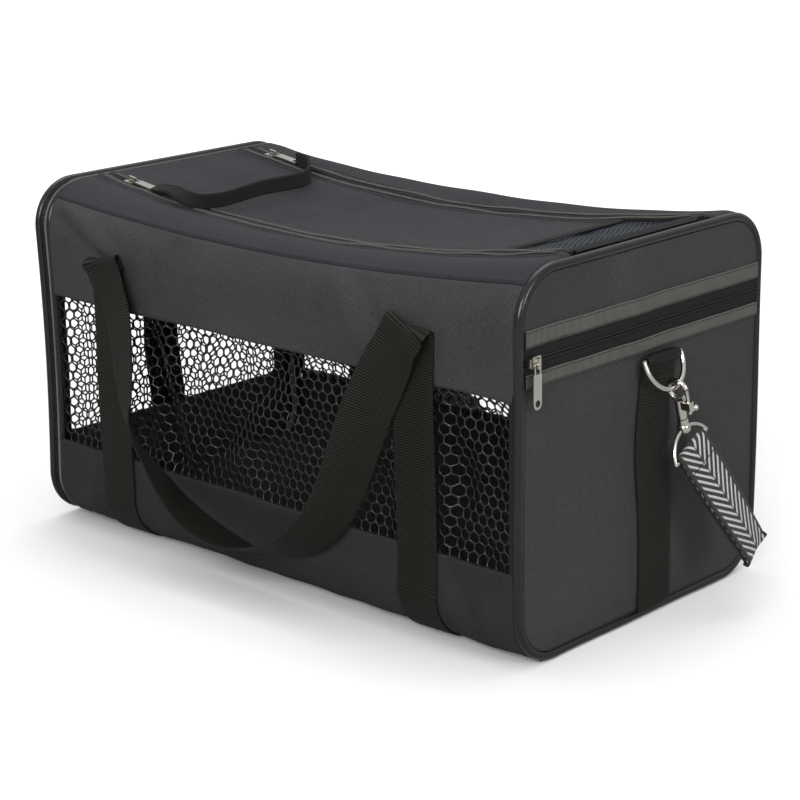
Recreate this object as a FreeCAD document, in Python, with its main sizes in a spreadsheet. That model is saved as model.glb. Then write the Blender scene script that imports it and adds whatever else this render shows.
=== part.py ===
import FreeCAD, Part
import math
import os

import Sketcher

V = FreeCAD.Vector

# Soft-sided pet carrier bag.  Millimetres.  Origin at the centre of the base on the floor,
# +X towards the end with the zip pocket and the strap, +Y to the back, +Z up.
SIZES = {
    # overall body
    "body_len": 540, "body_wid": 300, "body_high": 300, "corner_rad": 42,
    "cloth": 2.2, "net": 1.0, "seam_gap": 0.3,
    "top_sag": 24, "side_sag": 13, "sag_half": 256,
    # piping and the wires inside it
    "piping_dia": 7, "inner_piping_dia": 6, "piping_bore": 2.6, "wire_dia": 2.4,
    "inner_piping_x": -253, "cloth_lo_x": -249.8, "cloth_hi_x": 262.8,
    # side windows
    "window_lo": 74, "window_hi": 207,
    # top flap and its zips
    "flap_half": 80.5, "flap_lo_x": -249, "flap_hi_x": 259.5, "net_lo_x": 185, "net_hi_x": 256,
    "teeth_wid": 2.1, "teeth_high": 2.4, "zip_mid": 83,
    "slider_x": -216, "slider_len": 12, "slider_wid": 9, "slider_high": 3.2,
    "puller_len": 34, "puller_wid": 9, "puller_thick": 1.4,
    "loop_high": 14, "loop_thick": 1.8, "loop_reach": 62,
    # rim zip round the door end
    "rim_tape_x": -258.6, "rim_tape_thick": 2.4, "rim_teeth_x": -260.9, "rim_teeth_thick": 2.1,
    "rim_door_x": -262.9, "rim_door_thick": 1.8, "rim_zip_x": -259.4, "rim_slider_z": 60,
    "rim_slider_wid": 5.6,
    # end door
    "door_panel_x": -264.6, "door_window_lo": 72, "door_window_hi": 236, "door_window_half": 128,
    "door_window_rad": 14, "door_ring_y": -7.5,
    # pocket end
    "end_panel_x": 263, "pocket_x": 267.2, "pocket_lo": 7.4, "band_hi": 292.6,
    "lower_tape_lo": 213, "lower_tape_hi": 224, "upper_tape_lo": 243, "upper_tape_hi": 256,
    "pocket_zip_z": 233, "pocket_slider_y": -136, "inlay_half": 142.6, "inlay_rad": 34.6,
    # webbing, handles and rings
    "web_wid": 40, "web_thick": 1.6, "web_x": 171, "web_top": 242.5, "fold_rad": 4.6,
    "fold_y": 156.5, "fold_z": 243,
    "ring_y": 11.5, "ring_bar_z": 207, "ring_wire": 4, "ring_fit": 0.08,
    "ring_arc": 22.75, "ring_drop": 2.25, "ring_tilt": 22,
    # hook, swivel and strap
    "hook_lean": 16.3, "hook_wire": 4.2, "hook_bow": 8.1, "hook_set": 3.85, "shank_rad": 3.8,
    "shank_end": 28, "pin_rad": 1.6, "pin_run": 0.08, "gate_x": 8.1, "gate_rad": 1.5,
    "ball_z": 37, "ball_rad": 5.4, "eye_rad": 2.6, "eye_ring_wire": 3.4, "eye_ring_arc": 24,
    "eye_bar_up": 8, "strap_wid": 38, "strap_thick": 1.6, "strap_len": 100,
    "strap_out": 18, "strap_lean": 10,
    # floor insert
    "board_z": 4, "board_thick": 3, "mat_z": 7.5, "mat_thick": 20, "insert_lo_x": -244,
    "insert_hi_x": 256, "board_half": 118, "mat_half": 126, "mat_round": 7,
}

doc = FreeCAD.newDocument("pet_carrier_bag")
sheet = doc.addObject("Spreadsheet::Sheet", "Sizes")
for row, (alias, value) in enumerate(SIZES.items(), start=1):
    sheet.set("A%d" % row, alias)
    sheet.set("B%d" % row, str(value))
    sheet.setAlias("B%d" % row, alias)
doc.recompute()

nodes = []


def q(expr):
    """Sheet expression from words: bare size names get the sheet's prefix."""
    words = sorted(SIZES, key=len, reverse=True)
    out, i = "", 0
    while i < len(expr):
        hit = next((w for w in words if expr.startswith(w, i)
                    and (i == 0 or not (expr[i - 1].isalnum() or expr[i - 1] == "_"))), None)
        if hit:
            out += "Sizes." + hit
            i += len(hit)
        else:
            out += expr[i]
            i += 1
    return out


def num(expr):
    """Present value of a sheet expression."""
    value = sheet.evalExpression(q(str(expr)))
    return float(getattr(value, "Value", value))


def bind(obj, **exprs):
    for prop, expr in exprs.items():
        obj.setExpression(prop.replace("__", "."), q(str(expr)))
    return obj


def place(obj, x="0", y="0", z="0"):
    return bind(obj, Placement__Base__x=x, Placement__Base__y=y, Placement__Base__z=z)


def node(obj, label):
    obj.Label = label
    nodes.append(obj)
    return obj


def block(x0, x1, y0, y1, z0, z1):
    """Box between two corners given as sheet expressions."""
    box = doc.addObject("Part::Box", "block")
    bind(box, Length="(%s)-(%s)" % (x1, x0), Width="(%s)-(%s)" % (y1, y0), Height="(%s)-(%s)" % (z1, z0))
    return place(box, x0, y0, z0)


def rod(radius, length, x, y, z, axis="z"):
    """Round bar starting at a point and running along +x, +y or +z."""
    bar = doc.addObject("Part::Cylinder", "rod")
    bind(bar, Radius=radius, Height=length)
    spin = {"x": ((0, 1, 0), 90), "y": ((1, 0, 0), -90), "z": ((0, 0, 1), 0)}[axis]
    bar.Placement = FreeCAD.Placement(V(), FreeCAD.Rotation(V(*spin[0]), spin[1]))
    return place(bar, x, y, z)


def join(parts, name="joined"):
    fused = doc.addObject("Part::MultiFuse", name)
    fused.Shapes = parts
    return fused


def trim(base, tool, name="trimmed"):
    cut = doc.addObject("Part::Cut", name)
    cut.Base, cut.Tool = base, tool
    return cut


def shaped(label, shape):
    """Sub-part whose shape is built in code from the sheet's sizes."""
    obj = doc.addObject("Part::Feature", label)
    obj.Shape = shape
    return node(obj, label)


def plane(body, role):
    return next(o for o in body.Origin.OriginFeatures if o.Role == role)


def outline(body, name, role, shift, path):
    """Closed sketch outline.  Each corner is (a, b) or (a, b, radius, centre side) for an arc on to
    the next corner; every corner is held by its two distances from the origin."""
    sketch = body.newObject("Sketcher::SketchObject", name)
    sketch.AttachmentSupport = [(plane(body, role), "")]
    sketch.MapMode = "FlatFace"
    bind(sketch, AttachmentOffset__Base__z=shift)
    pts = [V(num(c[0]), num(c[1]), 0) for c in path]
    ids = []
    for i, corner in enumerate(path):
        a, b = pts[i], pts[(i + 1) % len(pts)]
        if len(corner) == 2:
            ids.append(sketch.addGeometry(Part.LineSegment(a, b), False))
        else:
            ids.append(sketch.addGeometry(arc_through(a, b, num(corner[2]), corner[3]), False))
    for i, corner in enumerate(path):
        first, prev = ids[i], ids[i - 1]
        start = 1 if len(corner) == 2 or corner[3] > 0 else 2
        before = path[i - 1]
        end = 2 if len(before) == 2 or before[3] > 0 else 1
        sketch.addConstraint(Sketcher.Constraint("Coincident", prev, end, first, start))
        for kind, expr, line in (("DistanceX", corner[0], -2), ("DistanceY", corner[1], -1)):
            if abs(num(expr)) < 1e-9:
                sketch.addConstraint(Sketcher.Constraint("PointOnObject", first, start, line))
                continue
            n = sketch.addConstraint(Sketcher.Constraint(kind, -1, 1, first, start, num(expr)))
            sketch.setExpression("Constraints[%d]" % n, q(str(expr)))
        if len(corner) > 2:
            n = sketch.addConstraint(Sketcher.Constraint("Radius", first, num(corner[2])))
            sketch.setExpression("Constraints[%d]" % n, q(str(corner[2])))
    return sketch


def arc_through(a, b, radius, side):
    """Minor arc from a to b.  side +1 runs anticlockwise, -1 clockwise."""
    chord = b - a
    mid = (a + b) * 0.5
    rise = math.sqrt(max(radius ** 2 - chord.Length ** 2 / 4, 0))
    normal = V(-chord.y, chord.x, 0).normalize()
    centre = mid + normal * rise * side
    top = centre - normal * radius * side
    first, last = (a, b) if side > 0 else (b, a)
    return Part.Arc(first, top, last)


def rounded(half_y, low, high, rad):
    """Corners of a rounded rectangle in a Y-Z sketch, starting at its bottom middle."""
    h, lo, hi, r = ("(%s)" % e for e in (half_y, low, high, rad))
    return [
        ("0", lo), (h + "-" + r, lo, rad, 1), (h, lo + "+" + r), (h, hi + "-" + r, rad, 1),
        (h + "-" + r, hi), (r + "-" + h, hi, rad, 1), ("-" + h, hi + "-" + r),
        ("-" + h, lo + "+" + r, rad, 1), (r + "-" + h, lo),
    ]


def padded(label, role, shift, length, path, holes=()):
    """Body padded from an outline, with optional pockets through it."""
    body = doc.addObject("PartDesign::Body", label)
    pad = body.newObject("PartDesign::Pad", label + "_pad")
    pad.Profile = outline(body, label + "_outline", role, shift, path)
    bind(pad, Length=length)
    body.Tip = pad
    for i, hole in enumerate(holes):
        cut = body.newObject("PartDesign::Pocket", "%s_pocket%d" % (label, i))
        cut.Profile = outline(body, "%s_hole%d" % (label, i), role, shift, hole)
        cut.Type = "ThroughAll"
        cut.Midplane = True
        body.Tip = cut
    return body


def hoop(label, x, half_y, low, high, rad, radius, bore):
    """Tube or wire bent into a rounded rectangle round the bag's end."""
    body = doc.addObject("PartDesign::Body", label)
    spine = outline(body, label + "_spine", "YZ_Plane", x, rounded(half_y, low, high, rad))
    for kind, size in (("Additive", radius), ("Subtractive", bore)):
        if size is None:
            continue
        ring = body.newObject("Sketcher::SketchObject", "%s_%s" % (label, kind))
        ring.AttachmentSupport = [(plane(body, "XZ_Plane"), "")]
        ring.MapMode = "FlatFace"
        g = ring.addGeometry(Part.Circle(V(num(x), num(low), 0), V(0, 0, 1), num(size)), False)
        for rule, expr in (("DistanceX", x), ("DistanceY", low)):
            n = ring.addConstraint(Sketcher.Constraint(rule, -1, 1, g, 3, num(expr)))
            ring.setExpression("Constraints[%d]" % n, q(str(expr)))
        n = ring.addConstraint(Sketcher.Constraint("Radius", g, num(size)))
        ring.setExpression("Constraints[%d]" % n, q(size))
        pipe = body.newObject("PartDesign::%sPipe" % kind, "%s_%s_pipe" % (label, kind))
        pipe.Profile = ring
        pipe.Spine = (spine, ["Edge%d" % (i + 1) for i in range(9)])
        body.Tip = pipe
    return node(body, label)


def end_hoops():
    """Piping cords round both ends, each with its stiffening wire."""
    half = "body_wid/2-piping_dia/2"
    low, high = "piping_dia/2", "body_high-piping_dia/2"
    rad = "corner_rad-piping_dia/2"
    for label, x in (("right_end", "body_len/2-piping_dia/2"), ("door", "piping_dia/2-body_len/2")):
        hoop(label + "_piping", x, half, low, high, rad, "piping_dia/2", "piping_bore/2")
        hoop(label + "_wire", x, half, low, high, rad, "wire_dia/2", None)
    hoop("left_inner_piping", "inner_piping_x", half, low, high, rad, "inner_piping_dia/2", "piping_bore/2")
    hoop("left_inner_wire", "inner_piping_x", half, low, high, rad, "wire_dia/2", None)


def inlay(label, x, thick, low, high, round_low, round_high, holes=()):
    """Flat panel set inside an end piping, with its outer corners following the piping."""
    half, rad, flat = "inlay_half", "inlay_rad", "inlay_half-inlay_rad"
    path = [("0", low)]
    if round_low:
        path += [(flat, low, rad, 1), (half, low + "+inlay_rad")]
    else:
        path += [(half, low)]
    if round_high:
        path += [(half, high + "-inlay_rad", rad, 1), (flat, high),
                 ("-(%s)" % flat, high, rad, 1), ("-inlay_half", high + "-inlay_rad")]
    else:
        path += [(half, high), ("-inlay_half", high)]
    if round_low:
        path += [("-inlay_half", low + "+inlay_rad", rad, 1), ("-(%s)" % flat, low)]
    else:
        path += [("-inlay_half", low)]
    return node(padded(label, "YZ_Plane", x, thick, path, holes), label)


def pocket_end():
    """End board, the flat pocket over it and the zip across the pocket."""
    top = "body_high-pocket_lo"
    inlay("right_end_panel", "end_panel_x", "cloth", "pocket_lo", top, True, True)
    inlay("pocket_panel", "pocket_x", "cloth", "pocket_lo", "(lower_tape_lo-0.2)", True, False)
    inlay("pocket_top_band", "pocket_x", "cloth", "(upper_tape_hi+0.2)", "band_hi", False, True)
    half = "inlay_half"
    for label, lo, hi in (("pocket_lower_tape", "lower_tape_lo", "lower_tape_hi"),
                          ("pocket_upper_tape", "upper_tape_lo", "upper_tape_hi")):
        node(block("pocket_x+0.2", "pocket_x+2.4", "-" + half, half, lo, hi), label)
    node(block("pocket_x+0.4", "pocket_x+1", "-" + half, half, "lower_tape_hi+0.2", "upper_tape_lo-0.2"),
         "pocket_zip_tape")
    node(block("pocket_x+1.1", "pocket_x+2.8", "-" + half, half, "pocket_zip_z-2.8", "pocket_zip_z+2.8"),
         "pocket_zip_chain")


def slider_body(label, wide="slider_wid", bail_across=False):
    """Zip slider in its own frame: +x along the zip, +z away from the bag, foot at z = 0."""
    half = wide + "/2"
    plate = block("-slider_len/2", "slider_len/2", "-" + half, half, "0.35", "slider_high")
    waist = trim(plate, join([
        block("slider_len/4", "slider_len", half + "-1.2", wide, "0", "slider_high+1"),
        block("slider_len/4", "slider_len", "-" + wide, "1.2-" + half, "0", "slider_high+1"),
    ]))
    bail = trim(block("-4", "4", "-1.3", "1.3", "slider_high", "slider_high+4.2"),
                block("-2.5", "2.5", "-2", "2", "slider_high", "slider_high+2.9"))
    if bail_across:
        bail.Placement.Rotation = FreeCAD.Rotation(V(0, 0, 1), 90)
    return node(join([waist, bail], label), label)


def puller_body(label):
    """Zip puller in the slider's frame, lying along +x, its round end pierced by a round hole."""
    low, high = "slider_high+0.8", "slider_high+0.8+puller_thick"
    axle = rod("0.9", "7", "1.2", "-3.5", "slider_high+0.8+puller_thick/2", "y")
    arms = [block("1.2", "9", "2", "3.5", low, high), block("1.2", "9", "-3.5", "-2", low, high)]
    centre = "puller_len-puller_wid/2"
    plate = block("8", centre, "-puller_wid/2", "puller_wid/2", low, high)
    end = rod("puller_wid/2", "puller_thick", centre, "0", low)
    hole = rod("2.6", "4", centre, "0", "slider_high")
    return node(trim(join([axle] + arms + [plate, end]), hole, label), label)


SAG_RAD = "((sag_half^2+top_sag^2)/(2*top_sag))"
SAG_TOP = "(body_high-top_sag+%s)" % SAG_RAD


def on_arc(x, depth="0"):
    """Height of the sagging top at x, a depth below its surface."""
    return "(%s-sqrt((%s+%s)^2-(%s)^2))" % (SAG_TOP, SAG_RAD, depth, x)


def arc_strip(label, x0, x1, y0, y1, top, low, holes=()):
    """Strip of the sagging top between two depths, padded across the bag."""
    path = [(x0, on_arc(x0, top)), (x1, on_arc(x1, top)), (x1, on_arc(x1, low)), (x0, on_arc(x0, low))]
    path[0] += ("%s+%s" % (SAG_RAD, top), 1)
    path[2] += ("%s+%s" % (SAG_RAD, low), -1)
    body = doc.addObject("PartDesign::Body", label)
    pad = body.newObject("PartDesign::Pad", label + "_pad")
    pad.Profile = outline(body, label + "_outline", "XZ_Plane", "-(%s)" % y1, path)
    bind(pad, Length="(%s)-(%s)" % (y1, y0))
    body.Tip = pad
    for i, hole in enumerate(holes):
        cut = body.newObject("PartDesign::Pocket", "%s_pocket%d" % (label, i))
        cut.Profile = outline(body, "%s_hole%d" % (label, i), "XY_Plane", "body_high+top_sag", hole)
        cut.Type = "ThroughAll"
        body.Tip = cut
    return node(body, label)


def top_flap():
    """Opening top: panel, its window, and the two halves of the zips on either side."""
    window = [("net_lo_x", "4-flap_half"), ("net_hi_x", "4-flap_half"),
              ("net_hi_x", "flap_half-4"), ("net_lo_x", "flap_half-4")]
    arc_strip("top_flap_panel", "flap_lo_x", "flap_hi_x", "-flap_half", "flap_half", "0", "cloth", [window])
    arc_strip("top_flap_mesh", "net_lo_x+0.2", "net_hi_x-0.2", "4.2-flap_half", "flap_half-4.2", "0.6",
              "1.6")
    inner, outer = "zip_mid-0.1", "zip_mid+0.1"
    for side, sign in (("front", -1), ("back", 1)):
        spans = (("flap", inner + "-teeth_wid", inner), ("gusset", outer, outer + "+teeth_wid"))
        for part, near, far in spans:
            lo, hi = (near, far) if sign > 0 else ("-(%s)" % far, "-(%s)" % near)
            arc_strip("%s_zip_teeth_%s" % (part, side), "flap_lo_x", "flap_hi_x", lo, hi, "0", "teeth_high")


def sag_at(x, depth):
    return depth * max(0.0, 1 - (x / num("sag_half")) ** 2)


def loft(label, section, stations):
    """Cloth strip lofted along the bag through closed outlines."""
    wires = [section(x) for x in stations]
    return shaped(label, Part.makeLoft(wires, True, False))


def body_stations():
    lo, hi = num("cloth_lo_x"), num("cloth_hi_x")
    return [lo + (hi - lo) * k / 8 for k in range(9)]


def side_band(side):
    """Upper side band: straight wall, then the first half of the top corner's bend."""
    wid, high, rad, t = num("body_wid") / 2, num("body_high"), num("corner_rad"), num("cloth")
    foot = num("window_hi") + num("seam_gap")
    stop = math.radians(44.6)

    def section(x):
        centre = V(x, side * (wid - rad), high - rad - sag_at(x, num("side_sag")))

        def on(r, angle):
            return centre + V(0, side * r * math.cos(angle), r * math.sin(angle))

        outer = [V(x, side * wid, foot), on(rad, 0), on(rad, stop / 2), on(rad, stop)]
        inner = [on(rad - t, stop), on(rad - t, stop / 2), on(rad - t, 0), V(x, side * (wid - t), foot)]
        line = Part.makeLine
        return Part.Wire([
            line(outer[0], outer[1]), Part.Arc(*outer[1:]).toShape(), line(outer[3], inner[0]),
            Part.Arc(*inner[:3]).toShape(), line(inner[2], inner[3]), line(inner[3], outer[0]),
        ])

    return section


def side_gusset(side):
    """Top gusset from the seam in the bend to the zip."""
    wid, high, rad, t = num("body_wid") / 2, num("body_high"), num("corner_rad"), num("cloth")
    seam_y, zip_y = wid - rad * (1 - math.sqrt(0.5)), num("zip_mid") + num("teeth_wid") + 0.4

    def section(x):
        def at(y, z):
            share = min(1.0, max(0.0, (seam_y - y) / (seam_y - zip_y)))
            depth = num("side_sag") + (num("top_sag") - num("side_sag")) * share
            return V(x, side * y, z - sag_at(x, depth))

        def row(r, drop):
            bend = [math.radians(a) for a in (45.4, 60, 75, 90)]
            points = [at(wid - rad + r * math.cos(a), high - rad + r * math.sin(a)) for a in bend]
            return points + [at(zip_y + 12, high - drop), at(zip_y, high - drop)]

        outer, inner = row(rad, 0), row(rad - t, t)[::-1]
        curves = []
        for points in (outer, inner):
            curve = Part.BSplineCurve()
            curve.interpolate(points)
            curves.append(curve.toShape())
        return Part.Wire([curves[0], Part.makeLine(outer[-1], inner[0]), curves[1],
                          Part.makeLine(inner[-1], outer[0])])

    return section


def bent_strip(label, side, rad_out, rad_in, top, sweep, x, length):
    """Strip down a side wall and round the bottom bend, padded along the bag."""
    a = "(body_wid/2-corner_rad)"
    end = [("%s+(%s)*cos(%s)" % (a, r, sweep), "corner_rad-(%s)*sin(%s)" % (r, sweep))
           for r in (rad_out, rad_in)]
    wall = ["%s+%s" % (a, r) for r in (rad_out, rad_in)]
    path = [end[0] + (rad_out, 1), (wall[0], "corner_rad"), (wall[0], top), (wall[1], top),
            (wall[1], "corner_rad", rad_in, -1), end[1]]
    if side < 0:
        path = [("-(%s)" % c[0],) + c[1:3] + ((-c[3],) if len(c) > 3 else ()) for c in path]
    return node(padded(label, "YZ_Plane", x, length, path), label)


def body_walls():
    """Long sides, bottom and floor insert."""
    node(block("cloth_lo_x", "cloth_hi_x", "corner_rad-body_wid/2+seam_gap", "body_wid/2-corner_rad-seam_gap",
               "0", "cloth"), "bottom_panel")
    for side, sign in (("front", -1), ("back", 1)):
        bent_strip(side + "_lower_band", sign, "corner_rad", "corner_rad-cloth", "window_lo-seam_gap", "90",
                   "cloth_lo_x", "cloth_hi_x-cloth_lo_x")
        y0, y1 = ("0.4-body_wid/2", "0.4+net-body_wid/2") if sign < 0 else \
            ("body_wid/2-0.4-net", "body_wid/2-0.4")
        node(block("cloth_lo_x", "cloth_hi_x", y0, y1, "window_lo", "window_hi"), side + "_mesh")
        loft(side + "_upper_band", side_band(sign), body_stations())
        loft(side + "_top_gusset", side_gusset(sign), body_stations())
        for end, x in (("left", "-web_x"), ("right", "web_x")):
            bent_strip("%s_webbing_%s" % (side, end), sign, "corner_rad+0.2+web_thick", "corner_rad+0.2",
                       "web_top", "70", x + "-web_wid/2", "web_wid")
    node(block("insert_lo_x+3", "insert_hi_x-3", "-board_half", "board_half", "board_z",
               "board_z+board_thick"), "base_board")
    mat = block("insert_lo_x", "insert_hi_x", "-mat_half", "mat_half", "mat_z", "mat_z+mat_thick")
    rounded_mat = doc.addObject("Part::Fillet", "floor_mat")
    rounded_mat.Base = mat
    radius = num("mat_round")
    rounded_mat.Edges = [(i + 1, radius, radius) for i in range(12)]
    node(rounded_mat, "floor_mat")


def door_end():
    """Zipped end door: framed net, webbing, and the zip teeth between the two pipings."""
    low, high, half, rad = "door_window_lo", "door_window_hi", "door_window_half", "door_window_rad"
    hole = rounded(half, low, high, rad)
    inlay("door_panel", "door_panel_x-cloth", "cloth", "pocket_lo", "body_high-pocket_lo", True, True, [hole])
    net = rounded(half + "-0.3", low + "+0.3", high + "-0.3", rad + "-0.3")
    node(padded("door_mesh", "YZ_Plane", "door_panel_x-cloth+0.6", "net", net), "door_mesh")
    outer = rounded("body_wid/2-2.5", "2.5", "body_high-2.5", "corner_rad-2.5")
    inner = rounded("body_wid/2-4.5", "4.5", "body_high-4.5", "corner_rad-4.5")
    for label, x, wide in (("rim_zip_tape", "rim_tape_x", "rim_tape_thick"),
                           ("rim_teeth_body", "rim_teeth_x", "rim_teeth_thick"),
                           ("rim_teeth_door", "rim_door_x", "rim_door_thick")):
        node(padded(label, "YZ_Plane", x, wide, outer, [inner]), label)


def ring_tab(label, face, sign, y):
    """Webbing up the middle of an end, looped at the top round the ring's bar; gives the bar's x."""
    lo, hi = (face, face + "+web_thick") if sign > 0 else (face + "-web_thick", face)
    y0, y1 = y + "-web_wid/2", y + "+web_wid/2"
    hole, skin = "ring_wire/2+ring_fit", "ring_wire/2+ring_fit+1.5"
    bar_x = "%s%s(web_thick+ring_wire/2+ring_fit+1.4)" % (face, "+" if sign > 0 else "-")
    strip = block(lo, hi, y0, y1, "pocket_lo", "ring_bar_z")
    tube = rod(skin, "web_wid", bar_x, y0, "ring_bar_z", "y")
    bore = rod(hole, "web_wid+2", bar_x, y0 + "-1", "ring_bar_z", "y")
    node(trim(join([strip, tube]), bore, label), label)
    return num(bar_x)


def d_ring(label, arc, bar_up, drop, wire):
    """Bent-wire D in the y-z plane: arc centred on the origin and opening upwards to its bar."""
    half = math.sqrt(arc ** 2 - bar_up ** 2)
    foot = -bar_up
    a, b = V(0, half, foot), V(0, -half, foot)
    edges = [Part.Arc(a, V(0, 0, -arc), b).toShape()]
    if drop:
        up = V(0, 0, drop)
        edges += [Part.makeLine(b, b + up), Part.makeLine(b + up, a + up), Part.makeLine(a + up, a)]
    else:
        edges += [Part.makeLine(b, a)]
    spine = Part.Wire(edges)
    circle = Part.Wire([Part.Circle(a, V(0, foot, -half), wire / 2).toShape()])
    return shaped(label, spine.makePipeShell([circle], True, False, 2))


def bag_ring():
    """Ring webbing and D-ring on the pocket end; gives the point where the hook hangs."""
    bar_x = ring_tab("right_ring_webbing", "(pocket_x+2.4)", 1, "ring_y")
    ring = d_ring("right_bag_ring", num("ring_arc"), 0, num("ring_drop"), num("ring_wire"))
    tilt, drop = math.radians(num("ring_tilt")), num("ring_drop")
    bar = V(bar_x, num("ring_y"), num("ring_bar_z"))
    down = V(math.sin(tilt), 0, -math.cos(tilt))
    arc_centre = bar + down * drop
    ring.Placement = FreeCAD.Placement(arc_centre, FreeCAD.Rotation(V(0, 1, 0), -num("ring_tilt")))
    lean = math.radians(num("hook_lean"))
    return arc_centre + (down * math.cos(lean) + V(0, math.sin(lean), 0)) * num("ring_arc")


def bow_with_shank():
    """Snap hook in its own frame: the ring wire it hangs from crosses y at the origin, shank down."""
    bow = doc.addObject("Part::Torus", "bow")
    bind(bow, Radius1="hook_bow", Radius2="hook_wire/2")
    bow.Placement = FreeCAD.Placement(V(), FreeCAD.Rotation(V(1, 0, 0), 90))
    place(bow, "0", "0", "-hook_set")
    mouth = block("gate_x-3.4", "gate_x+4", "-4", "4", "-hook_set-7", "-hook_set+2.4")
    c_shape = trim(bow, mouth)
    shank = rod("shank_rad", "shank_end-hook_set-hook_bow", "0", "0", "-shank_end")
    guide = block("0", "gate_x+2.7", "-2.8", "2.8", "-19", "-12.6")
    solid = join([c_shape, shank, guide])
    gate_bore = rod("gate_rad+pin_run", "20", "gate_x", "0", "-26")
    pin_bore = rod("pin_rad+pin_run", "shank_end-22", "0", "0", "-shank_end")
    head_room = rod("pin_rad+1.2", "2.4", "0", "0", "-22")
    return node(trim(solid, join([gate_bore, pin_bore, head_room]), "hook_body"), "hook_body")


def hook_gate():
    """Sprung gate pin that closes the bow, with its thumb knob to one side."""
    knob = doc.addObject("Part::Sphere", "knob")
    bind(knob, Radius="2.6")
    place(knob, "gate_x", "7.4", "-21.5")
    return node(join([
        rod("gate_rad", "20.5", "gate_x", "0", "-23"), rod("1.4", "7", "gate_x", "0", "-21.5", "y"), knob,
    ], "hook_trigger"), "hook_trigger")


def swivel():
    """Turning eye under the hook: headed pin, collar and a ball pierced for the strap ring."""
    ball = doc.addObject("Part::Sphere", "ball")
    bind(ball, Radius="ball_rad")
    place(ball, "0", "0", "-ball_z")
    solid = join([
        rod("pin_rad", "14", "0", "0", "-34"), rod("pin_rad+0.9", "1.8", "0", "0", "-21.7"),
        rod("4.3", "4.6", "0", "0", "-33"), ball,
    ])
    return node(trim(solid, rod("eye_rad", "14", "0", "-7", "-ball_z", "y"), "hook_swivel"), "hook_swivel")


def strap():
    """Doubled strap, sewn round the ring's bar at the top and folded at the bottom."""
    wid, t = "strap_wid/2", "strap_thick"
    gap = "(eye_ring_wire/2+0.1)"
    solid = join([
        block("-%s-%s" % (gap, t), "%s+%s" % (gap, t), "-" + wid, wid, "-strap_len", "0"),
        rod("%s+%s" % (gap, t), "strap_wid", "0", "-" + wid, "0", "y"),
        rod("%s+%s" % (gap, t), "strap_wid", "0", "-" + wid, "-strap_len", "y"),
    ])
    inside = join([
        block("-" + gap, gap, "-strap_wid", "strap_wid", "-strap_len", "0"),
        rod(gap, "2*strap_wid", "0", "-strap_wid", "0", "y"),
        rod(gap, "2*strap_wid", "0", "-strap_wid", "-strap_len", "y"),
    ])
    return node(trim(solid, inside, "strap_loop"), "strap_loop")


def strap_end():
    """D-ring, hook, swivel, strap ring and strap, each hung from the one above."""
    contact, arc = bag_ring(), num("eye_ring_arc")
    lean = FreeCAD.Rotation(V(1, 0, 0), num("hook_lean"))
    for obj in (bow_with_shank(), hook_gate(), swivel()):
        obj.Placement = FreeCAD.Placement(contact, lean)
    outward = lean * FreeCAD.Rotation(V(0, 1, 0), -num("strap_out"))
    hanging = outward * FreeCAD.Rotation(V(1, 0, 0), num("strap_lean"))
    eye = contact - lean.multVec(V(0, 0, num("ball_z")))
    centre = eye - outward.multVec(V(0, 0, arc))
    ring = d_ring("strap_ring", arc, num("eye_bar_up"), 0, num("eye_ring_wire"))
    ring.Shape = ring.Shape.mirror(V(), V(0, 0, 1))
    ring.Placement = FreeCAD.Placement(centre, hanging)
    bar = centre + hanging.multVec(V(0, 0, num("eye_bar_up")))
    strap().Placement = FreeCAD.Placement(bar, hanging)


def door_ring():
    """Matching webbing and D-ring on the door end, hanging free."""
    bar_x = ring_tab("door_webbing", "(door_panel_x-cloth-0.2)", -1, "door_ring_y")
    ring = d_ring("door_ring", num("ring_arc"), 0, num("ring_drop"), num("ring_wire"))
    ring.Placement.Base = V(bar_x, num("door_ring_y"), num("ring_bar_z") - num("ring_drop"))


def ride_arc(objects, x, y):
    """Set sliders and pullers on the sagging top at x, tipped to its slope."""
    rad = num(SAG_RAD)
    tip = -math.degrees(math.asin(x / rad))
    for obj in objects:
        obj.Placement = FreeCAD.Placement(V(x, y, num(on_arc(x))), FreeCAD.Rotation(V(0, 1, 0), tip))


def top_zips():
    """Sliders and pullers of the two top zips, and the loop that pulls both."""
    x, y = num("slider_x"), num("zip_mid")
    for side, sign in (("front", -1), ("back", 1)):
        parts = [slider_body("top_zip_slider_" + side), puller_body("top_zip_puller_" + side)]
        ride_arc(parts, x, sign * y)
    tip, reach = num("slider_x") + num("puller_len") + 1.4, num("loop_reach")
    front, back = tip + reach, tip + reach - 6
    path = [(tip, -y), (tip + 22, -y - 3), (front - 20, -y - 8), (front - 5, -y - 5), (front, 14 - y),
            (front - 2, -45), (back, -15), (back - 1, 12), (back - 3, 34), (back - 13, 52), (tip + 24, y - 12),
            (tip + 10, y - 4), (tip, y)]
    points = [V(px, py, num(on_arc("%f" % px)) + 2.6 + num("loop_high") / 2) for px, py in path]
    shaped("top_pull_loop", ribbon(points, [V(0, 0, 1)] * len(points), num("loop_high"), num("loop_thick")))


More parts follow.
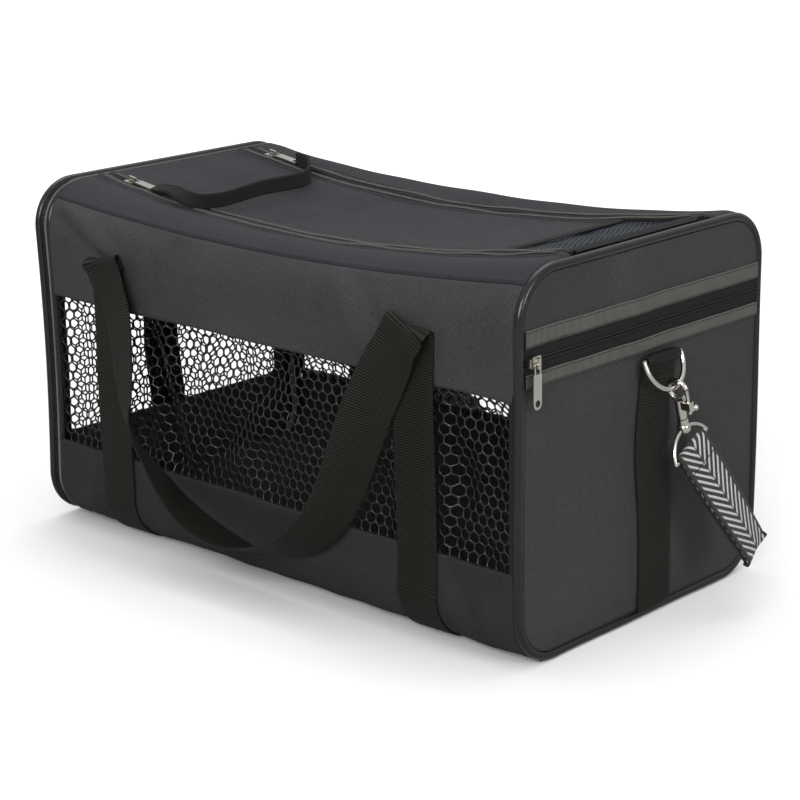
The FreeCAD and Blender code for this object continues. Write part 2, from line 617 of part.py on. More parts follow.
def ribbon(points, widths, wide, thick):
    """Webbing between four long edges: centre points and the direction of the width at each."""
    curve = Part.BSplineCurve()
    curve.interpolate(points)
    rows = []
    for point, across in zip(points, widths):
        along = V(*curve.tangent(curve.parameter(point))[0])
        across = (across - along * across.dot(along)).normalize()
        normal = along.cross(across).normalize()
        a, b = across * (wide / 2), normal * (thick / 2)
        rows.append([point + a + b, point - a + b, point - a - b, point + a - b])
    edges = []
    for k in range(4):
        edge = Part.BSplineCurve()
        edge.interpolate([row[k] for row in rows])
        edges.append(edge.toShape())
    faces = [Part.makeRuledSurface(edges[k], edges[(k + 1) % 4]) for k in range(4)]
    faces += [Part.Face(Part.makePolygon(row + row[:1])) for row in (rows[0], rows[-1])]
    shell = Part.makeShell(faces)
    shell.sewShape()
    solid = Part.makeSolid(shell)
    return solid if solid.Volume > 0 else Part.makeSolid(shell.reversed())


def handle_stations():
    """Centre points of a carry handle's webbing as (x, distance outwards, height, twist)."""
    web, top = num("web_x"), num("fold_z")
    bend = num("fold_rad") - num("web_thick") / 2
    axis, out = num("fold_y"), num("fold_y") + bend

    def fold(x):
        return [(x, axis - bend + 0.2, top - 0.3, 0), (x, axis - bend * 0.7, top + bend * 0.7, 0),
                (x, axis, top + bend, 0), (x, axis + bend * 0.7, top + bend * 0.7, 0), (x, out, top, 0)]

    left = [(11 - web, out + 1, top - 18, -4), (21 - web, out + 1.5, top - 40, -9),
            (27 - web, out + 2.5, top - 66, -15), (30 - web, out + 4, top - 94, -22),
            (34 - web, out + 6, top - 120, -31), (48 - web, out + 9, 103, -42), (-102, out + 11, 85, -48),
            (-79, out + 12.5, 65, -58), (-50, out + 13.5, 47, -70), (-16, out + 14, 38, -84)]
    right = [(15, out + 14, 37, -90), (55, out + 14, 51, -80), (104, out + 12, 96, -54),
             (122, out + 10, 135, -46), (web - 34, out + 7, top - 65, -36), (web - 14, out + 3, top - 28, -14)]
    return fold(-web) + left + right + fold(web)[::-1]


def carry_handle(label, side):
    """Carry handle: folded over at both ends, hanging slack and twisting flat at the bottom."""
    stations = handle_stations()
    points = [V(x, side * y, z) for x, y, z, _ in stations]
    curve = Part.BSplineCurve()
    curve.interpolate(points)
    across = []
    for point, (x, _, _, twist) in zip(points, stations):
        along = V(*curve.tangent(curve.parameter(point))[0])
        flat = along.cross(V(0, 1, 0)).normalize() if twist else V(-math.copysign(1, x), 0, 0)
        angle = math.radians(twist)
        across.append(flat * math.cos(angle) - V(0, side, 0) * math.sin(angle))
    shaped(label, ribbon(points, across, num("web_wid"), num("web_thick")))


def side_sliders():
    """Sliders of the rim zip and the pocket zip with their hanging pullers."""
    def frame(x, y, z, along, out):
        rotation = FreeCAD.Rotation(along, out.cross(along), out, "XYZ")
        return FreeCAD.Placement(V(x, y, z), rotation)

    rim_at = (num("rim_zip_x"), num("body_wid") / 2 - 2.4, num("rim_slider_z"))
    for obj in (slider_body("rim_zip_slider", "rim_slider_wid"), puller_body("rim_zip_puller")):
        obj.Placement = frame(*rim_at, V(0, 0, -1), V(0, 1, 0))
    pocket_at = (num("pocket_x") + 2.8, num("pocket_slider_y"), num("pocket_zip_z"))
    slider_body("pocket_zip_slider", bail_across=True).Placement = frame(*pocket_at, V(0, -1, 0), V(1, 0, 0))
    puller_body("pocket_zip_puller").Placement = frame(*pocket_at, V(0, 0, -1), V(1, 0, 0))


end_hoops()
pocket_end()
top_flap()
body_walls()
door_end()
strap_end()
door_ring()
top_zips()
carry_handle("front_handle", -1)
carry_handle("back_handle", 1)
side_sliders()
doc.recompute()

for obj in doc.Objects:
    if "Invalid" in obj.State or "Error" in obj.State:
        raise RuntimeError("%s: %s" % (obj.Label, obj.State))
os.makedirs("parts", exist_ok=True)
for part in nodes:
    if part.Shape.isNull() or not part.Shape.isValid():
        raise RuntimeError("bad shape: " + part.Label)
    part.Shape.exportStep("parts/%s.step" % part.Label)
print(len(nodes), "sub-parts written")
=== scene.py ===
import math

import bpy
import numpy as np
from mathutils import Matrix, Vector


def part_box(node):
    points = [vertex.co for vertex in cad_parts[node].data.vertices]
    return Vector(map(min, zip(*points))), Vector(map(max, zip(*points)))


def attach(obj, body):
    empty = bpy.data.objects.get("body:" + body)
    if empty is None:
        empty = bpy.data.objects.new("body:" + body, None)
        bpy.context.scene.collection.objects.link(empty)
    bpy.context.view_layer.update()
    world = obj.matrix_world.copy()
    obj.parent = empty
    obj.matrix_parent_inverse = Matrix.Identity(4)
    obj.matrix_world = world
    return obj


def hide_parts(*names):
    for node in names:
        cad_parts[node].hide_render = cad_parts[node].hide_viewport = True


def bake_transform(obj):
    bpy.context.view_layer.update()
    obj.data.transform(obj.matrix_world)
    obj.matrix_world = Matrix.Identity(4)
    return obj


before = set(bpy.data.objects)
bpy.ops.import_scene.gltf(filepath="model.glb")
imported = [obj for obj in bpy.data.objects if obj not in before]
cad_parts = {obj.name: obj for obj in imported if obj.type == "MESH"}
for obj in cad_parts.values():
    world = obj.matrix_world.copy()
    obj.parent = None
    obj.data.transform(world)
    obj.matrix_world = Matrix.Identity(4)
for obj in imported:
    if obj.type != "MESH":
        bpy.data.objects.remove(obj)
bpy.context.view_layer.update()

# ---------------------------------------------------------------- sizes, millimetres
MM = 0.001
WID, HIGH, RAD = 150.0, 300.0, 42.0          # half width, height, corner radius
X_LO, X_HI = -251.5, 265.5                   # cloth, its ends tucked under the pipings
TOP_SAG, SIDE_SAG, SAG_HALF = 24.0, 13.0, 256.0
WIN_LO, WIN_HI = 74.0, 207.0
ZIP_Y, WEB, WEB_X = 83.0, 40.0, 171.0
PIPE_MID, PIPE_RAD = 146.5, 38.5             # piping centre line half width and corner
ARC_RAD = (SAG_HALF ** 2 + TOP_SAG ** 2) / (2 * TOP_SAG)
RING_Y, RING_Z = 11.5, 207.0                 # middle of the strap's ring webbing, height of its bar
SLIDER_X = -216.0                            # parked sliders of the top zips
FLAP_LO, FLAP_HI, FLAP_Y = -249.0, 259.0, 80.6   # edges of the opening top's cloth
END_LO, END_HI = 7.0, 293.0                  # bottom and top of the cloth inside an end piping
CLOTH, END_CLOTH = 1.8, 1.6                  # thickness of the cloth of the sides and of the ends
SIDES = ((-1, "front"), (1, "back"))


def turned(axis, degrees):
    """Rotation matrix about x or y."""
    c, s = math.cos(math.radians(degrees)), math.sin(math.radians(degrees))
    if axis == "x":
        return np.array([[1, 0, 0], [0, c, -s], [0, s, c]])
    return np.array([[c, 0, s], [0, 1, 0], [-s, 0, c]])


# Strap hangs from the snap hook: bar of its ring, and the way it leans outwards and back.
STRAP_TURN = turned("x", 16.3) @ turned("y", -18) @ turned("x", 10)
STRAP_BAR = np.array([288.684, 31.240, 134.049])

# ---------------------------------------------------------------- materials
def tree(name, base, rough, sheen=0.0, metal=0.0, coat=0.0, spec=0.5):
    mat = bpy.data.materials.new(name)
    mat.use_nodes = True
    nt = mat.node_tree
    b = nt.nodes["Principled BSDF"]
    b.inputs["Base Color"].default_value = (*base, 1)
    b.inputs["Roughness"].default_value = rough
    b.inputs["Metallic"].default_value = metal
    b.inputs["Sheen Weight"].default_value = sheen
    b.inputs["Sheen Roughness"].default_value = 0.5
    b.inputs["Coat Weight"].default_value = coat
    b.inputs["Coat Roughness"].default_value = 0.15
    b.inputs["Specular IOR Level"].default_value = spec
    return mat, nt, b


def op(nt, kind, a, b=None):
    n = nt.nodes.new("ShaderNodeMath")
    n.operation = kind
    for i, v in enumerate((a, b)):
        if v is None:
            continue
        if isinstance(v, (int, float)):
            n.inputs[i].default_value = v
        else:
            nt.links.new(v, n.inputs[i])
    return n.outputs[0]


def uv(nt):
    """Cloth coordinates in millimetres."""
    n = nt.nodes.new("ShaderNodeUVMap")
    n.uv_map = "cloth"
    sep = nt.nodes.new("ShaderNodeSeparateXYZ")
    nt.links.new(n.outputs[0], sep.inputs[0])
    return sep.outputs[0], sep.outputs[1]


def noise(nt, vector, scale, detail=3.0):
    n = nt.nodes.new("ShaderNodeTexNoise")
    n.inputs["Scale"].default_value = scale
    n.inputs["Detail"].default_value = detail
    nt.links.new(vector, n.inputs["Vector"])
    return n.outputs["Fac"]


def obj_coords(nt):
    return nt.nodes.new("ShaderNodeTexCoord").outputs["Object"]


def tint(nt, b, fac, dark, light):
    ramp = nt.nodes.new("ShaderNodeMix")
    ramp.data_type = "RGBA"
    ramp.inputs["A"].default_value = (*dark, 1)
    ramp.inputs["B"].default_value = (*light, 1)
    nt.links.new(fac, ramp.inputs["Factor"])
    nt.links.new(ramp.outputs["Result"], b.inputs["Base Color"])


def bump(nt, b, height, depth):
    n = nt.nodes.new("ShaderNodeBump")
    n.inputs["Distance"].default_value = depth
    n.inputs["Strength"].default_value = 1.0
    nt.links.new(height, n.inputs["Height"])
    nt.links.new(n.outputs[0], b.inputs["Normal"])


def ridge(nt, coord, pitch):
    return op(nt, "ABSOLUTE", op(nt, "SINE", op(nt, "MULTIPLY", coord, math.pi / pitch)))


def weave_height(nt, u, v, pitch):
    """Plain weave: warp and weft threads taking turns on top."""
    su = op(nt, "SINE", op(nt, "MULTIPLY", u, math.pi / pitch))
    sv = op(nt, "SINE", op(nt, "MULTIPLY", v, math.pi / pitch))
    over = op(nt, "GREATER_THAN", op(nt, "MULTIPLY", su, sv), 0.0)
    a = op(nt, "MULTIPLY", op(nt, "ABSOLUTE", su), over)
    c = op(nt, "MULTIPLY", op(nt, "ABSOLUTE", sv), op(nt, "SUBTRACT", 1.0, over))
    return op(nt, "ADD", a, c)


def cloth_material(name, dark, light, pitch=1.3, depth=0.00025, rough=0.72, sheen=0.02):
    mat, nt, b = tree(name, light, rough, sheen=sheen, spec=0.12)
    u, v = uv(nt)
    height = weave_height(nt, u, v, pitch)
    where = obj_coords(nt)
    patch = noise(nt, where, 9.0)
    slub = noise(nt, where, 1100.0, 1.0)
    fleck = op(nt, "MULTIPLY", op(nt, "SUBTRACT", slub, 0.5), 0.9)
    # Painted shade: the colour follows the weave's height, so the sunken thread crossings are darker and the
    # raised threads lighter; the fleck and the large patches are the cloth's own random tone.
    weave_shade_and_tone = op(nt, "ADD", op(nt, "MULTIPLY", height, 0.6), fleck)
    tint(nt, b, op(nt, "ADD", weave_shade_and_tone, op(nt, "MULTIPLY", patch, 0.3)), dark, light)
    bump(nt, b, op(nt, "ADD", height, op(nt, "MULTIPLY", slub, 0.8)), depth)
    return mat


def web_material(name, dark, light, pitch=2.1, depth=0.0005):
    """Ribbed webbing: ribs across the strap, with a fine slant in each."""
    mat, nt, b = tree(name, light, 0.5, sheen=0.01, spec=0.12)
    u, v = uv(nt)
    rib = ridge(nt, v, pitch)
    twill = ridge(nt, op(nt, "ADD", u, op(nt, "MULTIPLY", v, 1.0)), 1.3)
    edge = op(nt, "ABSOLUTE", u)
    height = op(nt, "ADD", rib, op(nt, "MULTIPLY", twill, 0.35))
    worn = op(nt, "MULTIPLY", noise(nt, obj_coords(nt), 60.0), 0.25)
    # Painted shade: the colour follows the ribs, darker in the valleys between them and lighter on their
    # crests; the worn noise is the webbing's own random tone.
    weave_shade_and_tone = op(nt, "SUBTRACT", op(nt, "MULTIPLY", op(nt, "POWER", rib, 1.6), 1.1), worn)
    tint(nt, b, op(nt, "ADD", weave_shade_and_tone, op(nt, "MULTIPLY", edge, 0.004)), dark, light)
    bump(nt, b, height, depth)
    return mat


def chevron_material(slope=1.15):
    """Patterned strap: pale V stripes on a black ground with plain black borders."""
    repeat, black_share, border, middle = 7.3, 0.60, 15.6, 0.5
    mat, nt, b = tree("strap_weave", (0.02, 0.02, 0.02), 0.7, sheen=0.1)
    u, v = uv(nt)
    wob = op(nt, "MULTIPLY", noise(nt, obj_coords(nt), 900.0, 1.0), 0.9)
    off = op(nt, "ABSOLUTE", u)
    slant = op(nt, "ADD", op(nt, "ADD", v, op(nt, "MULTIPLY", off, slope)), wob)
    stripe = op(nt, "GREATER_THAN", op(nt, "FRACT", op(nt, "DIVIDE", slant, repeat)), black_share)
    inside = op(nt, "LESS_THAN", off, border)
    core = op(nt, "GREATER_THAN", off, middle)
    on = op(nt, "MULTIPLY", op(nt, "MULTIPLY", stripe, inside), core)
    tint(nt, b, on, (0.006, 0.006, 0.007), (0.50, 0.52, 0.51))
    thread = op(nt, "ADD", ridge(nt, u, 0.9), op(nt, "MULTIPLY", ridge(nt, v, 0.7), 0.6))
    bump(nt, b, op(nt, "ADD", thread, op(nt, "MULTIPLY", on, 0.6)), 0.0003)
    return mat


def smooth_material(name, base, rough, coat=0.0, metal=0.0, spec=0.5, grain=300.0, depth=0.00004):
    """Plastic or metal with slight wear in its gloss."""
    spread = 0.12
    mat, nt, b = tree(name, base, rough, metal=metal, coat=coat, spec=spec)
    where = obj_coords(nt)
    wear = noise(nt, where, 45.0, 5.0)
    nt.links.new(op(nt, "ADD", op(nt, "MULTIPLY", wear, spread), rough - spread / 2), b.inputs["Roughness"])
    tint(nt, b, wear, tuple(c * 0.8 for c in base), tuple(min(1, c * 1.15) for c in base))
    bump(nt, b, noise(nt, where, grain, 2.0), depth)
    return mat


SHELL = cloth_material("shell_cloth", (0.006, 0.006, 0.0065), (0.073, 0.071, 0.075))
LOWER = cloth_material("lower_cloth", (0.004, 0.004, 0.0045), (0.040, 0.039, 0.041))
TOP = cloth_material("top_cloth", (0.006, 0.006, 0.008), (0.049, 0.048, 0.056))
HEM = cloth_material("hem_cloth", (0.004, 0.004, 0.004), (0.020, 0.020, 0.020), pitch=0.9)
MAT = cloth_material("mat_cloth", (0.002, 0.002, 0.0025), (0.006, 0.006, 0.007), pitch=1.6, depth=0.0003)
WEBBING = web_material("webbing", (0.001, 0.001, 0.0008), (0.018, 0.018, 0.0135))
TAPE = web_material("zip_tape", (0.014, 0.014, 0.013), (0.150, 0.149, 0.136), pitch=1.3, depth=0.0002)
STRAP = chevron_material()
PIPING = smooth_material("piping", (0.005, 0.005, 0.005), 0.28, coat=0.3, spec=0.3, grain=700.0)
COIL = smooth_material("zip_coil", (0.006, 0.006, 0.006), 0.42, spec=0.25, grain=900.0)
NET = smooth_material("net_yarn", (0.006, 0.006, 0.0055), 0.28, spec=0.55, grain=1500.0, depth=0.00015)
NETTOP = smooth_material("net_top", (0.012, 0.018, 0.027), 0.42, spec=0.2, grain=1500.0, depth=0.00015)
NICKEL = smooth_material("nickel", (0.60, 0.58, 0.53), 0.16, metal=1.0, grain=260.0, depth=0.00003)
WIRE = smooth_material("spring_wire", (0.45, 0.45, 0.46), 0.35, metal=1.0)
BOARD = smooth_material("base_board", (0.01, 0.01, 0.01), 0.6, spec=0.2, grain=500.0, depth=0.0001)
THREAD = smooth_material("thread", (0.010, 0.010, 0.010), 0.6, spec=0.2, grain=2000.0)
SLEEVE = smooth_material("ring_sleeve", (0.004, 0.004, 0.004), 0.5, spec=0.2, grain=600.0, depth=0.0001)


# ---------------------------------------------------------------- mesh helpers
def lay_coords(mesh, layer, coords):
    """Write each vertex's cloth coordinates to the corners of the faces."""
    loops = np.zeros(len(mesh.loops), np.int32)
    mesh.loops.foreach_get("vertex_index", loops)
    layer.data.foreach_set("uv", np.asarray(coords, np.float32)[loops].ravel())


def make(name, verts, faces, coords, mat, body, nodes=(), thick=0.0):
    """New piece from points in millimetres, with its cloth coordinates, riding on a CAD body."""
    me = bpy.data.meshes.new(name)
    me.from_pydata((np.asarray(verts) * MM).tolist(), [], faces)
    lay_coords(me, me.uv_layers.new(name="cloth"), coords)
    me.materials.append(mat)
    me.polygons.foreach_set("use_smooth", [True] * len(me.polygons))
    me.update()
    obj = bpy.data.objects.new(name, me)
    bpy.context.scene.collection.objects.link(obj)
    if thick:
        mod = obj.modifiers.new("thickness", "SOLIDIFY")
        mod.thickness = thick * MM
        mod.offset = -1
    if body:
        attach(obj, body)
    if nodes:
        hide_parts(*nodes)
    return obj


def grid_faces(nu, nv, wrap_u=False, wrap_v=False, start=0):
    iu = np.arange(nu if wrap_u else nu - 1)
    iv = np.arange(nv if wrap_v else nv - 1)
    a, b = np.meshgrid(iu, iv, indexing="ij")
    a2, b2 = (a + 1) % nu, (b + 1) % nv
    quads = join(a * nv + b, a2 * nv + b, a2 * nv + b2, a * nv + b2).reshape(-1, 4)
    return (quads + start).tolist()


def sheet(name, points, coords, mat, body, nodes=(), thick=2.0, flip=False):
    nu, nv = points.shape[:2]
    faces = grid_faces(nu, nv)
    if flip:
        faces = [f[::-1] for f in faces]
    return make(name, points.reshape(-1, 3), faces, coords.reshape(-1, 2), mat, body, nodes, thick)


def windowed(name, points, coords, inside, mat, body, nodes, thick):
    """Sheet with the quads left out whose four corners are all inside the window."""
    keep = ~(inside[:-1, :-1] & inside[1:, 1:] & inside[1:, :-1] & inside[:-1, 1:])
    faces = [f for f, k in zip(grid_faces(*inside.shape), keep.ravel()) if k]
    make(name, points.reshape(-1, 3), faces, coords.reshape(-1, 2), mat, body, nodes, thick)


def waves(x, y, seed, scale):
    """Smooth random field of about unit height."""
    count = 7
    rng = np.random.default_rng(seed)
    total = np.zeros_like(x, dtype=float)
    for _ in range(count):
        angle, freq = rng.uniform(0, math.pi), rng.uniform(0.5, 1.6) / scale
        way = x * math.cos(angle) + y * math.sin(angle)
        total += np.sin(way * freq * 2 * math.pi + rng.uniform(0, 6.28))
    return total / count ** 0.5 / 1.2


def bell(d, width):
    return np.exp(-(d / width) ** 2)


def step(a, b, x):
    t = np.clip((x - a) / (b - a), 0, 1)
    return t * t * (3 - 2 * t)


def creases(x, z, level, rows):
    """Sum of slanting folds; each row is place, slant from the level, height and width."""
    return sum(size * bell(x - at - slant * (z - level), wide) for at, slant, size, wide in rows)


def sag(x, depth):
    return depth * np.clip(1 - (x / SAG_HALF) ** 2, 0, None)


def spline(points, n):
    """Smooth curve through points, evenly spaced along its length."""
    p = np.asarray(points, float)
    p = np.vstack([2 * p[0] - p[1], p, 2 * p[-1] - p[-2]])
    out = []
    for i in range(1, len(p) - 2):
        t = np.linspace(0, 1, 40, endpoint=False)[:, None]
        a, b, c, d = p[i - 1], p[i], p[i + 1], p[i + 2]
        out.append(0.5 * (2 * b + (c - a) * t + (2 * a - 5 * b + 4 * c - d) * t ** 2
                          + (3 * b - a - 3 * c + d) * t ** 3))
    out = np.vstack(out + [p[-2][None]])
    length = np.concatenate([[0], np.cumsum(np.linalg.norm(np.diff(out[:, :3], axis=0), axis=1))])
    at = np.linspace(0, length[-1], n)
    return picked(out, length, at), at


def picked(points, length, at):
    """Points of a path at the given lengths along it."""
    return join(*[np.interp(at, length, column) for column in points.T])


def join(*parts):
    """Points from their coordinates; a single number counts for all of them."""
    return np.stack(np.broadcast_arrays(*parts), -1)


def unit(v):
    return v / np.maximum(np.linalg.norm(v, axis=-1, keepdims=True), 1e-9)


def ribbon(name, centre, across, wide, thick, mat, body, nodes=(), along=None, ripple=0.0):
    """Strap with rounded edges along a centre line; across is the direction of its width."""
    across = np.asarray(across, float)
    tangent = unit(np.gradient(centre, axis=0))
    across = unit(across - tangent * np.sum(across * tangent, axis=1, keepdims=True))
    normal = np.cross(tangent, across)
    half, r = wide / 2, thick / 2
    ring = [(-half, 0), (-half + r * .4, r * .8), (-half + r * 1.6, r)]
    ring += [(u, r) for u in np.linspace(-half + 3, half - 3, 7)]
    ring += [(half - r * 1.6, r), (half - r * .4, r * .8), (half, 0)]
    ring = np.array(ring + [(u, -w) for u, w in ring[-2:0:-1]])
    if along is None:
        along = np.concatenate([[0], np.cumsum(np.linalg.norm(np.diff(centre, axis=0), axis=1))])
    wob = ripple * np.sin(along / 23.0)[:, None] * (ring[None, :, 0] / half)
    raised = ring[None, :, 1:] + wob[..., None]
    points = centre[:, None] + across[:, None] * ring[None, :, :1] + normal[:, None] * raised
    coords = join(ring[None, :, 0], along[:, None])
    n, m = len(centre), len(ring)
    faces = grid_faces(n, m, wrap_v=True)
    faces.append(list(range(m))[::-1])
    faces.append([(n - 1) * m + k for k in range(m)])
    return make(name, points.reshape(-1, 3), faces, coords.reshape(-1, 2), mat, body, nodes)


def rounded_loop(half, low, high, rad, n_side=24, n_arc=14):
    """Closed rounded rectangle in the y-z plane, from the bottom middle towards +y."""
    pts = []

    def line(a, b):
        for t in np.linspace(0, 1, n_side, endpoint=False):
            pts.append((a[0] + (b[0] - a[0]) * t, a[1] + (b[1] - a[1]) * t))

    def arc(cy, cz, a0):
        for t in np.linspace(0, math.pi / 2, n_arc, endpoint=False):
            pts.append((cy + rad * math.cos(a0 + t), cz + rad * math.sin(a0 + t)))

    h = half - rad
    line((0, low), (h, low))
    arc(h, low + rad, -math.pi / 2)
    line((half, low + rad), (half, high - rad))
    arc(h, high - rad, 0)
    line((h, high), (-h, high))
    arc(-h, high - rad, math.pi / 2)
    line((-half, high - rad), (-half, low + rad))
    arc(-h, low + rad, math.pi)
    line((-h, low), (0, low))
    return np.array(pts)


def bow(x, y, z):
    """The door end leans in a few millimetres at mid height."""
    share = step(-150, -262, x) * np.sin(np.clip((z - 15) / 270, 0, 1) * math.pi)
    return y - np.sign(y) * 4.0 * share * step(60, 140, np.abs(y))


def tube(name, path, radius, mat, body, nodes=(), closed=True, sides=12):
    """Round cord along a path."""
    p = np.asarray(path, float)
    if closed:
        tangent = unit(np.roll(p, -1, 0) - np.roll(p, 1, 0))
        length = np.linalg.norm(p - np.roll(p, 1, 0), axis=1)
    else:
        tangent = unit(np.gradient(p, axis=0))
        length = np.concatenate([[0], np.linalg.norm(np.diff(p, axis=0), axis=1)])
    along = np.cumsum(length)
    side = np.cross(tangent, [1.0, 0, 0])
    side = np.where(np.linalg.norm(side, axis=1, keepdims=True) < 0.2, np.cross(tangent, [0, 0, 1.0]), side)
    side = unit(side)
    up = np.cross(side, tangent)
    a = np.linspace(0, 2 * math.pi, sides, endpoint=False)
    spoke = side[:, None] * np.cos(a)[None, :, None] + up[:, None] * np.sin(a)[None, :, None]
    points = p[:, None] + radius * spoke
    coords = join(a[None] * np.max(radius), along[:, None])
    faces = grid_faces(len(p), sides, wrap_u=closed, wrap_v=True)
    return make(name, points.reshape(-1, 3), faces, coords.reshape(-1, 2), mat, body, nodes)


def little_boxes(name, centres, along, up, size, mat, body, nodes=()):
    """Many small rounded bars in one piece: stitches or zip teeth."""
    side = np.cross(along, up)
    c = [(-.5, -.35, -.5), (-.5, .35, -.5), (-.5, .35, .2), (-.5, -.35, .2),
         (-.3, 0, .5), (.3, 0, .5), (.5, -.35, -.5), (.5, .35, -.5), (.5, .35, .2), (.5, -.35, .2)]
    c = np.array(c)[None] * np.array(size)
    points = centres[:, None] + along[:, None] * c[..., :1]
    points = points + side[:, None] * c[..., 1:2] + up[:, None] * c[..., 2:]
    shape = [(0, 3, 2, 1), (3, 4, 2), (6, 7, 8, 9), (9, 8, 5),
             (3, 9, 5, 4), (2, 4, 5, 8), (0, 6, 9, 3), (1, 2, 8, 7)]
    corners = c.shape[1]
    faces = [[k * corners + i for i in f] for k in range(len(centres)) for f in shape]
    coords = np.zeros((len(centres) * corners, 2))
    return make(name, points.reshape(-1, 3), faces, coords, mat, body, nodes)


def zip_teeth(name, path, pitch, size, axis, body, node):
    """Row of coil teeth standing square to the path and to the axis."""
    pos, along = walk(path, pitch)
    little_boxes(name, pos, along, unit(np.cross(along, axis)), size, COIL, body, [node])


def walk(path, pitch):
    """Points and directions at an even pitch along a path."""
    p = np.asarray(path, float)
    length = np.concatenate([[0], np.cumsum(np.linalg.norm(np.diff(p, axis=0), axis=1))])
    at = np.arange(pitch / 2, length[-1], pitch)
    return picked(p, length, at), unit(picked(p, length, at + 0.4) - picked(p, length, at - 0.4))


def stitches(name, path, up, body, pitch=3.6):
    pos, along = walk(path, pitch)
    ups = np.broadcast_to(np.array(up, float), pos.shape)
    size, lift = (2.5, 0.55, 0.6), 0.15
    little_boxes(name, pos + ups * lift, along, unit(ups), size, THREAD, body)


def net(name, place, u0, u1, v0, v1, body, nodes, mat=NET, pitch=9.0, hole=0.452, thick=0.7):
    """Knitted net with rounded hexagonal holes; place maps flat coordinates to the bag."""
    rows = int((v1 - v0) / (pitch * math.sqrt(3) / 2)) + 2
    cols = int((u1 - u0) / pitch) + 2
    verts, faces, index = [], [], {}

    def corner(u, v):
        key = (round(u, 2), round(v, 2))
        if key not in index:
            index[key] = len(verts)
            verts.append((min(max(u, u0), u1), min(max(v, v0), v1)))
        return index[key]

    big = pitch / math.sqrt(3)
    for r in range(rows):
        for c in range(cols):
            cu = u0 + pitch * (c + 0.5 * (r % 2))
            cv = v0 + r * pitch * math.sqrt(3) / 2
            outer = [corner(cu + big * math.sin(k * math.pi / 3), cv + big * math.cos(k * math.pi / 3))
                     for k in range(6)]
            first = len(verts)
            for k in range(12):
                rad = pitch * hole * (1.06 if k % 2 == 0 else 0.97)
                pu, pv = cu + rad * math.sin(k * math.pi / 6), cv + rad * math.cos(k * math.pi / 6)
                verts.append((min(max(pu, u0), u1), min(max(pv, v0), v1)))
            for k in range(6):
                ring = [first + (2 * k + j) % 12 for j in range(3)]
                faces.append([outer[k], ring[0], ring[1]])
                faces.append([outer[k], ring[1], outer[(k + 1) % 6]])
                faces.append([outer[(k + 1) % 6], ring[1], ring[2]])
    flat = np.array(verts)
    return make(name, place(flat[:, 0], flat[:, 1]), faces, flat, mat, body, nodes, thick)


# ---------------------------------------------------------------- the shell: sides, top and bottom
def normal_from(points):
    du = np.gradient(points, axis=0)
    dv = np.gradient(points, axis=1)
    return unit(np.cross(du, dv))


def push(points, amount, side):
    """Move a surface along its own outward normal, with its ends tucked in under the pipings."""
    n = normal_from(points)
    x = points[..., 0]
    amount = amount - 2.2 * (step(X_LO + 3, X_LO, x) + step(X_HI - 3, X_HI, x))
    out = np.sign(np.sum(n * np.array([0, side, 0.3]), axis=-1, keepdims=True))
    return points + n * out * amount[..., None]


def band_folds(x, z, side):
    """Creases of the upper side band: pulled towards the handles' ends and slack between."""
    amount = 1.1 * waves(x, z * 1.6, 11 if side < 0 else 12, 95)
    along = (x + 250) * 0.88 - (z - 290) * 0.48
    off = (x + 250) * 0.48 + (z - 290) * 0.88
    reach = step(0, 18, along) * step(125, 70, along)
    amount += (4.6 * bell(off - 6, 8) - 4.4 * bell(off + 9, 6)) * reach
    amount += 2.2 * bell(off - 26, 11) * step(10, 40, along) * step(130, 80, along)
    rows = ((-128, 0.45, 2.4, 9), (-108, 0.45, -2.4, 10), (-66, 0.2, 1.5, 16), (-20, 0.0, -1.4, 22),
            (48, -0.35, 1.4, 17), (108, -0.6, 2.4, 13), (132, -0.6, -2.0, 10), (208, 0.55, 2.2, 13),
            (232, 0.5, -1.6, 10))
    amount += creases(x, z, 240, rows) * step(207, 222, z) * step(288, 262, z)
    near_end = step(X_LO, X_LO + 16, x) * step(X_HI, X_HI - 16, x)
    return amount * near_end * under_webbing(x, z)


def under_webbing(x, z):
    """Cloth lies flat where the carry webbing is sewn over it."""
    return 1 - step(34, 23, np.abs(np.abs(x) - WEB_X)) * step(250, 240, z)


def upper_band(side, name):
    xs, v = np.linspace(X_LO, X_HI, 200), np.linspace(0, 1, 34)
    x = np.broadcast_to(xs[:, None], (200, 34))
    drop = sag(x, SIDE_SAG)
    wall = HIGH - RAD - drop - (WIN_HI - 3)
    length = wall + RAD * math.radians(46)
    d = v[None] * length
    angle = np.clip((d - wall) / RAD, 0, None)
    z = np.where(d < wall, WIN_HI - 3 + d, HIGH - RAD - drop + RAD * np.sin(angle))
    y = np.where(d < wall, WID, WID - RAD + RAD * np.cos(angle))
    points = join(x, side * y, z)
    hem = 0.4 * step(12, 4, d) * under_webbing(x, z)
    seam = -1.3 * bell(length - d, 1.5)
    slack = band_folds(x, z, side)
    slack -= 1.6 * step(40, 0, d) * np.sin((x - X_LO) / (X_HI - X_LO) * math.pi) * under_webbing(x, z)
    points = push(points, hem + seam + slack * step(0, 14, length - d), side)
    points[..., 1] = bow(points[..., 0], points[..., 1], points[..., 2])
    sheet(name, points, join(x, d), SHELL, "bag_body",
          [name.replace("_cloth", "")], thick=CLOTH, flip=side > 0)


